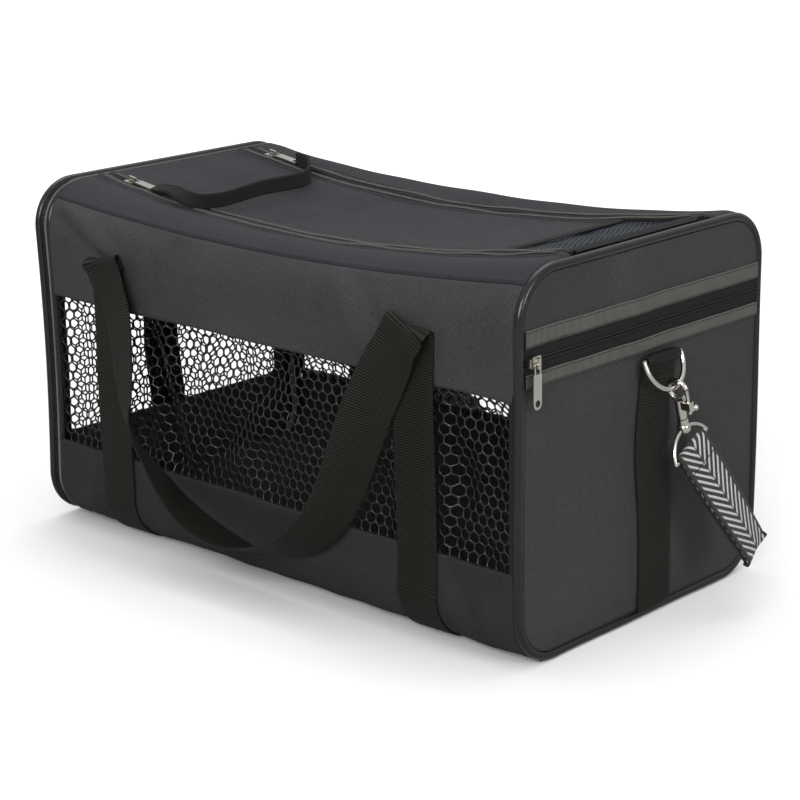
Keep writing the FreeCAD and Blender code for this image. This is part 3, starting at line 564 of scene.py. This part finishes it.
def gusset(side, name):
    """Top gusset between the side seam and the zip, with the folded hem along the zip."""
    xs, v = np.linspace(X_LO, X_HI, 200), np.linspace(0, 1, 40)
    x = np.broadcast_to(xs[:, None], (200, 40))
    seam_y, zip_y = WID - RAD * (1 - math.sqrt(0.5)), ZIP_Y + 2.6
    arc = RAD * math.radians(45)
    flat = WID - RAD - zip_y
    d = np.broadcast_to(v[None] * (arc + flat), x.shape)
    angle = math.pi / 4 + np.minimum(d, arc) / RAD
    y = np.where(d < arc, WID - RAD + RAD * np.cos(angle), WID - RAD - (d - arc))
    z = np.where(d < arc, HIGH - RAD + RAD * np.sin(angle), HIGH)
    share = np.clip((seam_y - y) / (seam_y - zip_y), 0, 1)
    drop = sag(x, SIDE_SAG + (TOP_SAG - SIDE_SAG) * share)
    points = join(x, side * y, z - drop)
    edge = arc + flat - d
    hem = 1.6 * step(8.5, 6.5, edge) * step(0, 1.5, edge) - 0.5 * bell(edge - 9, 1.2)
    seam = 1.1 * bell(d - 2.6, 1.6) - 1.0 * bell(d, 0.8)
    slack = 0.9 * waves(x, d * 2, 21 if side < 0 else 22, 110) * step(0, 12, d) * step(0, 12, edge)
    ripple = 0.9 * waves(x, d * 0, 23 if side < 0 else 24, 60) * bell(edge, 7)
    end = step(X_LO, X_LO + 10, x) * step(X_HI, X_HI - 10, x)
    tuck = 2.2 * (step(X_LO + 3, X_LO, x) + step(X_HI - 3, X_HI, x))
    points[..., 2] += hem + seam + (slack + ripple) * end - tuck
    points[..., 1] -= side * tuck * step(arc + 6, 0, d)
    sheet(name, points, join(x, d), TOP, "bag_body",
          [name.replace("_cloth", "")], thick=CLOTH, flip=side > 0)
    seam_row, hem_row = -9, -4
    stitches(name + "_stitch", points[4:-4, seam_row], (0, 0, 1), "bag_body")
    zip_edge(name + "_edge", points[4:-4, hem_row], "bag_body")


def zip_edge(name, line, body):
    """Narrow ribbed tape that shows along the folded edge beside a top zip."""
    line = line + np.array([0, 0, 0.5])
    ribbon(name, line, [0, 1.0, 0], 4.6, 1.1, TAPE, body)


def lower_band(side, name):
    xs, v = np.linspace(X_LO, X_HI, 180), np.linspace(0, 1, 36)
    x = np.broadcast_to(xs[:, None], (180, 36))
    wall, bend = WIN_LO + 2 - RAD, RAD * math.pi / 2
    d = np.broadcast_to(v[None] * (wall + bend), x.shape)
    angle = np.clip((d - wall) / RAD, 0, None)
    z = np.where(d < wall, WIN_LO + 2 - d, RAD - RAD * np.sin(angle))
    y = np.where(d < wall, WID, WID - RAD + RAD * np.cos(angle))
    points = join(x, side * y, z)
    hem = 0.4 * step(12, 4, d) * under_webbing(x, z)
    slack = 1.0 * waves(x, d * 1.5, 31 if side < 0 else 32, 75) - 1.2 * bell(d - 22, 12)
    rows = ((-205, 0.5, 1.8, 11), (-120, -0.4, 1.6, 12), (-30, 0.3, -1.4, 18), (95, 0.4, 1.6, 14),
            (205, -0.6, 2.6, 9), (222, -0.6, -2.4, 9))
    slack += creases(x, z, 40, rows) * step(8, 25, z)
    slack *= step(X_LO, X_LO + 14, x) * step(X_HI, X_HI - 14, x) * step(wall + bend, wall + bend - 25, d)
    slack *= under_webbing(x, z)
    points = push(points, hem + slack, side)
    points[..., 2] = np.maximum(points[..., 2], 0.1)
    sheet(name, points, join(x, d), LOWER, "bag_body",
          [name.replace("_cloth", "")], thick=CLOTH, flip=side < 0)


def side_net(side, name):
    """Window net, slack enough to wrinkle a little inwards."""
    rows = ((-118, -0.25, 5.0, 9), (-96, -0.3, -4.0, 8), (-20, 0.9, 4.0, 9),
            (8, 0.9, -3.6, 9), (150, -0.5, 3.6, 8), (214, 0.2, 3.4, 9))

    def place(u, v):
        edge = step(0, 30, u - X_LO) * step(0, 30, X_HI - u)
        edge *= step(0, 22, v - WIN_LO + 6) * step(0, 22, WIN_HI + 6 - v)
        fold = 4.6 + 2.6 * waves(u + 0.5 * v, v, 41 if side < 0 else 42, 70) + creases(u, v, 140, rows)
        behind_webbing = step(34, 23, np.abs(np.abs(u) - WEB_X))
        y = WID - 2.6 - np.clip(fold, 0, 12) * edge * (1 - 0.8 * behind_webbing)
        return join(u, side * bow(u, y, v), v)

    nodes = [name.replace("_knit", "")]
    net(name, place, X_LO + 1, X_HI - 1, WIN_LO - 4, WIN_HI + 4, "bag_body", nodes)


def window_binding(side, word):
    """Narrow tape joining each end of a side net to the piping."""
    for x0, inward, end in ((X_LO, 1, "left"), (X_HI, -1, "right")):
        z, t = np.meshgrid(np.linspace(WIN_LO - 3, WIN_HI + 3, 50), np.linspace(0, 1, 5), indexing="ij")
        x = x0 + inward * (6.5 * t - 1.5)
        y = bow(x, WID - 2.4 + 2.3 * step(0, 0.5, t), z)
        sheet("%s_net_binding_%s" % (word, end), join(x, side * y, z), join(x, z), HEM,
              "bag_body", thick=1.0, flip=side * inward < 0)


def bottom():
    xs, ys = np.linspace(X_LO, X_HI, 90), np.linspace(-(WID - RAD) - 1, WID - RAD + 1, 50)
    x, y = np.meshgrid(xs, ys, indexing="ij")
    z = 0.12 + 0.5 * np.clip(waves(x, y, 51, 80), 0, 1)
    sheet("bottom_cloth", join(x, y, z), join(x, y), SHELL, "bag_body",
          ["bottom_panel"], thick=1.6, flip=True)


def on_top(x, depth=0.0):
    return HIGH - TOP_SAG + ARC_RAD - np.sqrt((ARC_RAD + depth) ** 2 - x ** 2)


def top_flap():
    """Opening top: cloth with hems along the zips, and a net window at its pocket end."""
    xs, ys = np.linspace(FLAP_LO, FLAP_HI, 220), np.linspace(-FLAP_Y, FLAP_Y, 76)
    x, y = np.meshgrid(xs, ys, indexing="ij")
    edge = FLAP_Y - np.abs(y)
    z = on_top(x) + 1.6 * step(8.5, 6.5, edge) * step(0, 1.5, edge) - 0.5 * bell(edge - 9, 1.2)
    slack = 1.5 * waves(x, y * 1.4, 61, 110) - 3.0 * bell(y, 46) * sag(x, 1)
    for at, size in ((-196, 0.9), (-164, -1.1), (-150, 1.0), (-88, 1.2), (-60, -1.3)):
        slack += size * bell(x - at - 4 * np.sin(y / 22.0), 7)
    ripple = 0.9 * waves(x, y * 0, 62, 60) * bell(edge, 7)
    z = z + (slack * step(4, 22, edge) + ripple) * step(FLAP_LO, -232, x) * step(FLAP_HI, 245, x)
    points = join(x, y, z)
    net_lo, net_hi = 186, 255
    inside = (x > net_lo + 1) & (x < net_hi - 1) & (edge > 5)
    windowed("top_flap_cloth", points, join(x, y), inside, TOP, "top_flap", ["top_flap_panel"],
             CLOTH)
    for k, (seam, hem) in enumerate(((5, 2), (-6, -3))):
        stitches("top_flap_stitch_%d" % k, points[3:-3, seam], (0, 0, 1), "top_flap")
        zip_edge("top_flap_edge_%d" % k, points[3:-3, hem], "top_flap")

    def place(u, v):
        return join(u, v, on_top(u) - 1.0 + 0.8 * waves(u, v, 63, 50) - 1.2 * bell(v, 50))

    net("top_flap_net", place, net_lo, net_hi, -77, 77, "top_flap", ["top_flap_mesh"], NETTOP,
        pitch=4.6, hole=0.36)
    for x0 in (net_lo + 0.2, net_hi - 0.4):
        pts = join(x0, np.linspace(-76, 76, 60), on_top(x0) + 0.4)
        across = [1.0, 0, 0]
        ribbon("net_binding_%d" % x0, pts, across, 7, 1.2, HEM, "top_flap")


def top_zip_teeth():
    x = np.linspace(-249, 258, 300)
    across = [0, 1.0, 0]
    pitch, tooth = 1.5, (1.0, 2.1, 1.5)
    for side, word in SIDES:
        for part, body, out, shift in (("gusset", "bag_body", 1, 0.0), ("flap", "top_flap", -1, pitch / 2)):
            y = side * (ZIP_Y + 0.9 * out)
            path = join(x + shift, y, on_top(x) - 0.9)
            zip_teeth("%s_teeth_%s" % (part, word), path, pitch, tooth, [0, -1.0, 0], body,
                      "%s_zip_teeth_%s" % (part, word))
            tape = join(x, y + side * 2.6 * out, on_top(x) - 1.7)
            ribbon("%s_tape_%s" % (part, word), tape, across, 7, 0.7, TAPE, body)


# ---------------------------------------------------------------- both ends
def loop3(half, low, high, rad, x, closed=False):
    p = rounded_loop(half, low, high, rad)
    pts = join(x, p[:, 0], p[:, 1])
    pts[:, 1] = bow(pts[:, 0], pts[:, 1], pts[:, 2])
    return np.vstack([pts, pts[:1]]) if closed else pts


def pipings():
    inset = WID - PIPE_MID
    for name, x, radius, body, piping, wire in (
            ("right_piping_cord", 266.5, 3.5, "bag_body", "right_end_piping", "right_end_wire"),
            ("door_piping_cord", -266.5, 3.5, "end_door", "door_piping", "door_wire"),
            ("inner_piping_cord", -253.0, 3.0, "bag_body", "left_inner_piping", "left_inner_wire")):
        path = loop3(PIPE_MID, inset, HIGH - inset, PIPE_RAD, x)
        turn = np.arange(len(path)) / len(path) * 2 * math.pi
        path[:, 0] += 0.35 * np.sin(7 * turn + x) * (body == "bag_body")
        tube(name, path, radius, PIPING, body, [piping], sides=16)
        tube(name + "_wire", path, 1.1, WIRE, body, [wire], sides=8)
        out, inner = np.sign(x), radius - 0.4
        edge = inset + inner
        seam = loop3(WID - edge, edge, HIGH - edge, PIPE_RAD - inner, x - 0.9 * out, True)
        stitches(name + "_stitch", seam + np.array([2.6 * out, 0, 0]), (out, 0, 0), body, 4.2)


def rim_tape(name, x0, x1, body, nodes):
    """Zip tape running all round the door end."""
    inset = 3.0
    p = np.stack([loop3(WID - inset, inset, HIGH - inset, RAD - inset, x, True)
                  for x in np.linspace(x0, x1, 4)], 1)
    along = np.arange(len(p))[:, None] * 6.0
    sheet(name, p, join(p[..., 0], along), TAPE, body, nodes, thick=1.2)


def rim():
    rim_tape("rim_tape_cloth", -260.7, -255.0, "bag_body", ["rim_zip_tape"])
    rim_tape("rim_door_tape", -264.6, -261.1, "end_door", [])
    for name, x, body in (("rim_teeth_body", -259.95, "bag_body"), ("rim_teeth_door", -261.95, "end_door")):
        inset = 2.3
        path = loop3(WID - inset, inset, HIGH - inset, RAD - inset, x, True)
        zip_teeth(name + "_coil", path, 1.6, (1.1, 2.0, 1.5), [1.0, 0, 0], body, name)


def half_width(z):
    """Half width of the flat inside an end piping at height z."""
    half, low, rad = 143.2, 6.8, 35.4
    dip = np.clip(np.maximum(low + rad - z, z - (HIGH - low - rad)), 0, rad)
    return half - rad + np.sqrt(rad * rad - dip * dip)


def end_grid(z0, z1, rows, cols):
    """Places y and z of a sheet that fills an end piping between two heights."""
    z, share = np.meshgrid(np.linspace(z0, z1, rows), np.linspace(-1, 1, cols), indexing="ij")
    return share * half_width(z), z


def inlay(name, z0, z1, x_of, node, rows=70):
    """Cloth inside the piping of the pocket end, between two heights."""
    y, z = end_grid(z0, z1, rows, 90)
    x = x_of(y, z)
    sheet(name, join(x, bow(x, y, z), z), join(y, z), SHELL, "bag_body",
          [node], thick=END_CLOTH, flip=True)


def pocket_end():
    inlay("end_board_cloth", END_LO, END_HI, lambda y, z: 264.4 + 0 * y, "right_end_panel")

    def lower(y, z):
        """Pocket cloth, a little full, but flat under the ring's webbing."""
        edge = step(0, 16, half_width(z) - np.abs(y)) * step(END_LO, 24, z) * step(214, 196, z)
        soft = 0.5 + 0.7 * waves(y, z, 71, 120) + 1.2 * bell(np.hypot(y + 70, z - 110), 70)
        return 268.0 + 0.9 * edge + np.clip(soft, -0.6, 1.6) * edge * step(23, 40, np.abs(y - RING_Y))

    def upper(y, z):
        return 268.4 + 0.7 * np.clip(waves(y, z, 72, 90), -0.6, 1) * step(END_HI, 283, z)

    inlay("pocket_cloth", END_LO, 216.0, lower, "pocket_panel")
    inlay("pocket_top_cloth", 253.0, END_HI, upper, "pocket_top_band", rows=24)


def pocket_zip():
    """Mouth of the pocket: grey ribbons above and below a black tape with the closed teeth."""
    n, half, face = 150, 142.4, 269.0
    ys = np.linspace(-half, half, n)
    across = [0, 0, 1.0]
    for word, z, wide in (("lower", 218.5, 11.0), ("upper", 249.5, 13.0)):
        x = face + 0.1 + 0.25 * waves(ys, ys * 0, 73, 60)
        line = join(x, ys, z + 0.4 * waves(ys, ys * 0, 74, 80))
        name = "pocket_%s_ribbon" % word
        ribbon(name, line, across, wide, 1.5, TAPE, "bag_body", ["pocket_%s_tape" % word])
        for k, dz in enumerate((1.4 - wide / 2, wide / 2 - 1.4)):
            stitches("%s_stitch_%d" % (name, k), line + np.array([0.8, 0, dz]), (1, 0, 0), "bag_body", 3.4)
    tape = join(267.9, ys, 233.5)
    ribbon("pocket_tape_cloth", tape, across, 21.0, 0.8, HEM, "bag_body", ["pocket_zip_tape"])
    pitch = 1.5
    for k, dz in enumerate((-1.15, 1.15)):
        path = join(face, ys + k * pitch / 2, 233 + dz)
        zip_teeth("pocket_teeth_%d" % k, path, pitch, (1.0, 2.5, 1.7), [0, 0, 1.0], "bag_body",
                  "pocket_zip_chain")


def door_end():
    """Door leaf: cloth with a bound net window."""
    half, low, high = 131, 69, 239
    y, z = end_grid(END_LO, END_HI, 120, 110)
    x = -266.2 - 0.5 * np.clip(waves(y, z, 81, 100), -0.8, 1) * step(0, 12, half_width(z) - np.abs(y))
    inside = (np.abs(y) < half - 3) & (z > low + 3) & (z < high - 3)
    points = join(x, bow(x, y, z), z)
    windowed("door_cloth", points, join(y, z), inside, SHELL, "end_door", ["door_panel"], END_CLOTH)

    def place(u, v):
        inner = step(0, 24, half - np.abs(u)) * step(0, 24, v - low) * step(0, 24, high - v)
        x = -265.6 + (1.8 + 1.3 * waves(u, v, 82, 60)) * inner
        return join(x, bow(x, u, v), v)

    net("door_net", place, -half, half, low, high, "end_door", ["door_mesh"])
    loop = rounded_loop(half - 1, low + 1, high - 1, 12)
    loop = np.vstack([loop, loop[:1]])
    line = join(-267.2, loop[:, 0], loop[:, 1])
    outwards = np.cross(unit(np.gradient(line, axis=0)), [1.0, 0, 0])
    ribbon("door_window_binding", line, outwards, 8.0, 1.0, HEM, "end_door")


# ---------------------------------------------------------------- webbing, handles and strap
def end_webbing(name, s, face, bar_x, y, body, node):
    """Webbing up the middle of an end, passed round the ring's bar and sewn back on itself."""
    on_face = ((0.9, 7.6), (0.9, 60), (1.3, 120), (0.9, 180), (0.9, RING_Z - 10))
    round_bar = ((-2.9, -1.4), (-2.1, 2.2), (0.4, 3.1), (2.7, 1.4), (3.0, -1.2), (0.9, -3.8))
    sewn_back = ((2.9, RING_Z - 8), (2.6, RING_Z - 19))
    pts = [(face + s * off, y, z) for off, z in on_face]
    pts += [(bar_x + s * off, y, RING_Z + rise) for off, rise in round_bar]
    pts += [(face + s * off, y, z) for off, z in sewn_back]
    line, _ = spline(pts, 140)
    line[:, 1] -= 6.5 * bell(line[:, 2] - 140, 46)
    ribbon(name, line, [0, -s, 0], WEB, 1.5, WEBBING, body, [node], ripple=0.25)
    sewn = join(face + s * 3.3, np.linspace(y - 17, y + 17, 30), RING_Z - 14)
    stitches(name + "_bartack", sewn, (s, 0, 0), body, 2.4)
    bar_half = 19.3
    roll = join(bar_x, np.linspace(y - bar_half, y + bar_half, 24), RING_Z + 0.4)
    swell = 4.5 * np.sqrt(1 - np.linspace(-0.985, 0.985, 24) ** 8)
    tube(name + "_sleeve", roll, swell[:, None, None], SLEEVE, body, closed=False, sides=18)


def carry_webbing():
    """Four straps sewn down the sides and round under the bottom."""
    n, r = 170, RAD + 1.1
    for side, word in SIDES:
        for x, end in ((-WEB_X, "left"), (WEB_X, "right")):
            pts = [(x + 0.7 * math.sin(z / 37.0), side * (WID + 1.0 + 0.5 * math.sin(z / 29.0 + x)), z)
                   for z in np.linspace(244, RAD + 4, 16)]
            pts += [(x, side * (WID - RAD + r * math.cos(a)), RAD - r * math.sin(a))
                    for a in np.linspace(0.05, math.radians(69), 8)]
            line, _ = spline(pts, n)
            name = "%s_webbing_%s" % (word, end)
            ribbon(name + "_strap", line, [1.0, 0, 0], WEB, 1.5, WEBBING, "bag_body",
                   [name], ripple=0.3)
            sewn = line[(line[:, 2] > 208) & (line[:, 2] < 242)]
            for k, dx in enumerate((-17.5, 17.5)):
                edge = sewn + np.array([dx, side * 0.9, 0])
                stitches("%s_sewn_%d" % (name, k), edge, (0, side, 0), "bag_body", 3.0)


def handle(side, word):
    """Carry handle: folded over at its sewn ends, hanging slack and twisting flat at the bottom."""
    axis, top, bend = 156.5, 243.0, 3.8
    out, part = axis + bend, bend * 0.75

    def fold(x):
        """Half turn over the sewn end: x, distance out, height, twist in degrees."""
        inward = -math.copysign(1, x)
        return [(x, axis - bend, top - 2, 0), (x, axis - part, top + part, 0), (x, axis, top + bend, 0),
                (x + inward, axis + part, top + part, 0), (x + 3.5 * inward, out, top - 2, 0),
                (x + 9 * inward, out + 0.3, top - 11, 0)]

    left = [(15 - WEB_X, out + 0.6, top - 21, -5), (22 - WEB_X, out + 1.2, top - 37, -9),
            (26 - WEB_X, out + 2.3, top - 62, -15), (29 - WEB_X, out + 4, top - 94, -22),
            (33 - WEB_X, out + 6, top - 120, -31), (48 - WEB_X, out + 9, 103, -44),
            (-102, out + 11, 86, -56), (-79, out + 12.5, 68, -68), (-50, out + 13.5, 52, -80),
            (-16, out + 14, 43, -79)]
    right = [(15, out + 14, 42, -69), (54, out + 14, 52, -61), (82, out + 13, 70, -56),
             (104, out + 12, 96, -52), (121, out + 10, 133, -47), (135, out + 7, 172, -40),
             (147, out + 4, 200, -28), (156, out + 2, 219, -14)]
    stations = fold(-WEB_X) + left + right + fold(WEB_X)[::-1]
    line, along = spline([(x, side * y, z, t) for x, y, z, t in stations], 420)
    twist = np.radians(line[:, 3:4])
    line = line[:, :3]
    flat = unit(np.cross(unit(np.gradient(line, axis=0)), [0, 1.0, 0]))
    lean = np.radians(np.where(line[:, 0] < 0, 12, 27)) * step(axis - bend, out, np.abs(line[:, 1]))
    hem = join(-np.sign(line[:, 0]) * np.cos(lean), 0 * lean, np.sin(lean))
    loose = step(236, 215, line[:, 2:3]) * (np.abs(line[:, 1:2]) > axis)
    flat = unit(hem * (1 - loose) + flat * loose)
    across = flat * np.cos(twist) - np.array([0, side, 0]) * np.sin(twist)
    obj = ribbon(word + "_handle_strap", line, across, WEB, 1.6, WEBBING, None, [word + "_handle"],
                 along=along, ripple=0.35)
    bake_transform(obj)


def pull_loop():
    """Webbing loop between the tips of the two top pullers, lying over on its side in the middle."""
    tip, y = SLIDER_X + 35.4, ZIP_Y
    front, back = tip + 62, tip + 56
    path = [(tip - 4, -y), (tip + 22, -y - 3), (front - 20, -y - 8), (front - 5, -y - 5), (front, 14 - y),
            (front - 2, -45), (back, -15), (back - 1, 12), (back - 3, 34), (back - 13, 52),
            (tip + 24, y - 12), (tip + 10, y - 4), (tip - 4, y)]
    line, along = spline([(a, b, 0) for a, b in path], 220)
    end = np.minimum(along, along[-1] - along)
    line[:, 2] = on_top(line[:, 0]) + 9.8 + 0.5 * np.sin(along / 17) - 3.0 * step(26, 0, end)
    lay = step(70, 10, along)
    across = join(0.12 * np.sin(along / 40), 1.6 * lay, 1 - 0.55 * lay)
    ribbon("pull_loop_band", line, across, 13.0, 2.0, HEM, "pull_loop", ["top_pull_loop"],
           along=along)
    face = unit(np.cross(unit(np.gradient(line, axis=0)), across))
    for k, dz in enumerate((-4.6, 4.6)):
        for j, off in enumerate((-1.15, 1.15)):
            sewn = (line + unit(across) * dz + face * off)[6:-6]
            stitches("pull_loop_stitch_%d%d" % (k, j), sewn, (0, 0, 1), "pull_loop", 3.4)


def strap():
    """Patterned strap folded round the ring's bar and again at its loose end."""
    t, length = 2.5, 100.0
    pts = [(-t - 0.3, -length + 3), (-t - 0.7, -76), (-t - 1.0, -46), (-t - 0.4, -18), (-t, -4),
           (-t * 0.8, 1.6), (0, 2.7), (t * 0.8, 1.6), (t, -4), (t + 0.2, -18), (t + 0.7, -46),
           (t + 0.6, -76), (t + 0.2, -length + 5), (t * 0.7, -length - 0.8), (0, -length - 2.9),
           (-t * 0.6, -length - 1.2), (-t - 0.2, -length + 3)]
    line, along = spline([(a, 0, b) for a, b in pts], 260)
    twist = np.radians(14) * step(-10, -length, line[:, 2])
    across = join(-np.sin(twist), np.cos(twist), 0 * twist)
    ribbon("strap_band", line @ STRAP_TURN.T + STRAP_BAR, across @ STRAP_TURN.T, 38.0, 1.5, STRAP, "strap",
           ["strap_loop"], along=along, ripple=0.2)
    for k, x in enumerate((-t - 1.2, t + 1.2)):
        sewn = join(x, np.linspace(-17, 17, 24), -15.0) @ STRAP_TURN.T
        stitches("strap_sewn_%d" % k, sewn + STRAP_BAR, STRAP_TURN[:, 0] * np.sign(x), "strap", 2.6)


# ---------------------------------------------------------------- floor mat and hardware
def corners_of(mesh):
    """Places of a mesh's vertices, in metres."""
    flat = np.zeros(len(mesh.vertices) * 3)
    mesh.vertices.foreach_get("co", flat)
    return flat.reshape(-1, 3)


def filled_pad(mid, size):
    """Thin closed pad, filled by a cloth simulation; no point moves further than the limit."""
    margin, grid, limit, frames = 0.006, 0.006, 0.004, 20
    bpy.ops.mesh.primitive_cube_add(size=1, location=mid)
    pad = bpy.context.object
    pad.name = "floor_mat_pad"
    pad.scale = (size.x - margin, size.y - margin, size.z * 0.72)
    bpy.ops.object.transform_apply(location=True, rotation=False, scale=True)
    grain = pad.modifiers.new("grain", "REMESH")
    grain.mode = "VOXEL"
    grain.voxel_size = grid
    bpy.ops.object.modifier_apply(modifier="grain")
    rest = corners_of(pad.data)
    cloth = pad.modifiers.new("fill", "CLOTH")
    cloth.settings.use_pressure = True
    cloth.settings.uniform_pressure_force = 4
    cloth.settings.effector_weights.gravity = 0
    cloth.settings.quality = 5
    cloth.point_cache.frame_end = frames
    for f in range(1, frames + 1):
        bpy.context.scene.frame_set(f)
    bpy.ops.object.modifier_apply(modifier="fill")
    bpy.context.scene.frame_set(1)
    shift = corners_of(pad.data) - rest
    far = np.linalg.norm(shift, axis=1, keepdims=True)
    return pad, rest + shift * np.minimum(1, limit / np.maximum(far, 1e-9))


def floor_mat():
    """Padded mat, sewn round its edge and across in two places."""
    lo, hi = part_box("floor_mat")
    size, mid = hi - lo, (hi + lo) / 2
    pad, moved = filled_pad(mid, size)
    flat = (moved - np.array(mid)) / np.array(size) * 2
    edge = np.minimum(1 - np.abs(flat[:, 0]), (1 - np.abs(flat[:, 1])) * size.y / size.x)
    channel = bell(edge - 0.06, 0.012) * 0.0022
    for at in (-0.34, 0.34):
        channel += bell(flat[:, 0] - at, 0.012) * 0.0024
    crown = 0.0022 * (1 - flat[:, 0] ** 4) * (1 - flat[:, 1] ** 4)
    moved[:, 2] += (crown - channel) * np.sign(flat[:, 2]) * (np.abs(flat[:, 2]) > 0.4)
    moved = np.clip(moved, np.array(lo), np.array(hi))
    mesh = pad.data
    mesh.vertices.foreach_set("co", moved.ravel())
    layer = mesh.uv_layers[0] if mesh.uv_layers else mesh.uv_layers.new()
    layer.name = "cloth"
    lay_coords(mesh, layer, moved[:, :2] / MM)
    mesh.polygons.foreach_set("use_smooth", [True] * len(mesh.polygons))
    mesh.materials.clear()
    mesh.materials.append(MAT)
    pad.modifiers.new("soft", "SUBSURF").levels = 1
    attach(pad, "floor_insert")
    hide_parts("floor_mat")


def paint(name, mat):
    """Finish of a CAD object that keeps its own shape."""
    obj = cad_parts[name]
    obj.data.materials.clear()
    obj.data.materials.append(mat)
    obj.data.polygons.foreach_set("use_smooth", [True] * len(obj.data.polygons))
    return obj


def hardware():
    """Metal and board parts; the stamped zip parts get a softened edge."""
    zips = ["top_zip_slider_front", "top_zip_slider_back", "top_zip_puller_front", "top_zip_puller_back",
            "rim_zip_slider", "rim_zip_puller", "pocket_zip_slider", "pocket_zip_puller"]
    for name in zips:
        soft = paint(name, NICKEL).modifiers.new("soft_edge", "BEVEL")
        soft.width = 0.0003
        soft.segments = 2
        soft.limit_method = "ANGLE"
    for name in ("right_bag_ring", "door_ring", "hook_body", "hook_trigger", "hook_swivel", "strap_ring"):
        paint(name, NICKEL)
    paint("base_board", BOARD)


# ---------------------------------------------------------------- stage, light and camera
def place_object(name, data):
    obj = bpy.data.objects.new(name, data)
    bpy.context.scene.collection.objects.link(obj)
    return obj


def pale_floor():
    """Plain floor, seen near white and fading to white, but giving the bag little light from below."""
    reach, low = 6.0, -0.0006
    mesh = bpy.data.meshes.new("floor")
    mesh.from_pydata([(-reach, -reach, low), (reach, -reach, low), (reach, reach, low), (-reach, reach, low)],
                     [], [(0, 1, 2, 3)])
    mat, nt, b = tree("floor_pale", (0.93, 0.93, 0.93), 0.6, spec=0.2)
    direct = nt.nodes.new("ShaderNodeLightPath").outputs["Is Camera Ray"]
    tint(nt, b, direct, (0.42, 0.42, 0.42), (0.93, 0.93, 0.93))
    away = nt.nodes.new("ShaderNodeVectorMath")
    away.operation = "LENGTH"
    nt.links.new(obj_coords(nt), away.inputs[0])
    far = op(nt, "MULTIPLY", op(nt, "SUBTRACT", away.outputs["Value"], 0.6), 0.35)
    glow = op(nt, "MAXIMUM", op(nt, "MINIMUM", far, 0.4), 0.0)
    b.inputs["Emission Color"].default_value = (1, 1, 1, 1)
    nt.links.new(op(nt, "MULTIPLY", glow, direct), b.inputs["Emission Strength"])
    mesh.materials.append(mat)
    place_object("floor", mesh)


def studio():
    """White surroundings, dimmer from below, and three large soft lamps."""
    scene = bpy.context.scene
    scene.view_settings.view_transform = "Standard"
    scene.world = bpy.data.worlds.new("studio")
    scene.world.use_nodes = True
    nt = scene.world.node_tree
    sky = nt.nodes["Background"]
    sep = nt.nodes.new("ShaderNodeSeparateXYZ")
    nt.links.new(nt.nodes.new("ShaderNodeTexCoord").outputs["Generated"], sep.inputs[0])
    rise = op(nt, "ADD", op(nt, "MULTIPLY", sep.outputs[2], 0.55), 0.42)
    seen = nt.nodes.new("ShaderNodeLightPath").outputs["Is Camera Ray"]
    nt.links.new(op(nt, "MAXIMUM", op(nt, "MAXIMUM", rise, seen), 0.30), sky.inputs["Strength"])
    sky.inputs["Color"].default_value = (1, 1, 1, 1)
    for name, place, aim, size, power in (
            ("key", (1.3, -2.6, 1.5), (0, 0, 0.15), 1.3, 58),
            ("top", (-0.6, 0.6, 2.6), (0, 0, 0.1), 2.0, 22),
            ("right", (2.8, -0.1, 1.1), (0.2, 0, 0.15), 1.0, 24)):
        light = bpy.data.lights.new(name, "AREA")
        light.size, light.energy = size, power
        lamp = place_object(name, light)
        lamp.location = place
        lamp.rotation_euler = (Vector(aim) - Vector(place)).to_track_quat("-Z", "Y").to_euler()


def camera():
    """Camera at the photograph's angle, with its slight roll."""
    az, el, roll = math.radians(43.104), math.radians(16.308), math.radians(-0.863)
    stand = (1.21894, -1.28564, 0.64213)
    back = np.array([math.sin(az) * math.cos(el), -math.cos(az) * math.cos(el), math.sin(el)])
    level = np.array([math.cos(az), math.sin(az), 0])
    upright = np.cross(back, level)
    right = math.cos(roll) * level + math.sin(roll) * upright
    up = -math.sin(roll) * level + math.cos(roll) * upright
    data = bpy.data.cameras.new("camera")
    data.sensor_width, data.lens = 36.0, 99.233
    cam = place_object("camera", data)
    cam.matrix_world = Matrix([[right[i], up[i], back[i], stand[i]] for i in range(3)] + [[0, 0, 0, 1]])
    bpy.context.scene.camera = cam


for side, word in SIDES:
    upper_band(side, word + "_upper_band_cloth")
    gusset(side, word + "_top_gusset_cloth")
    lower_band(side, word + "_lower_band_cloth")
    side_net(side, word + "_mesh_knit")
    window_binding(side, word)
    handle(side, word)
bottom()
top_flap()
top_zip_teeth()
pipings()
rim()
pocket_end()
pocket_zip()
door_end()
end_webbing("ring_webbing_strap", 1, 269.6, 274.68, RING_Y, "bag_body", "right_ring_webbing")
end_webbing("door_webbing_strap", -1, -267.0, -272.08, -7.5, "end_door", "door_webbing")
carry_webbing()
pull_loop()
strap()
floor_mat()
hardware()
pale_floor()
studio()
camera()
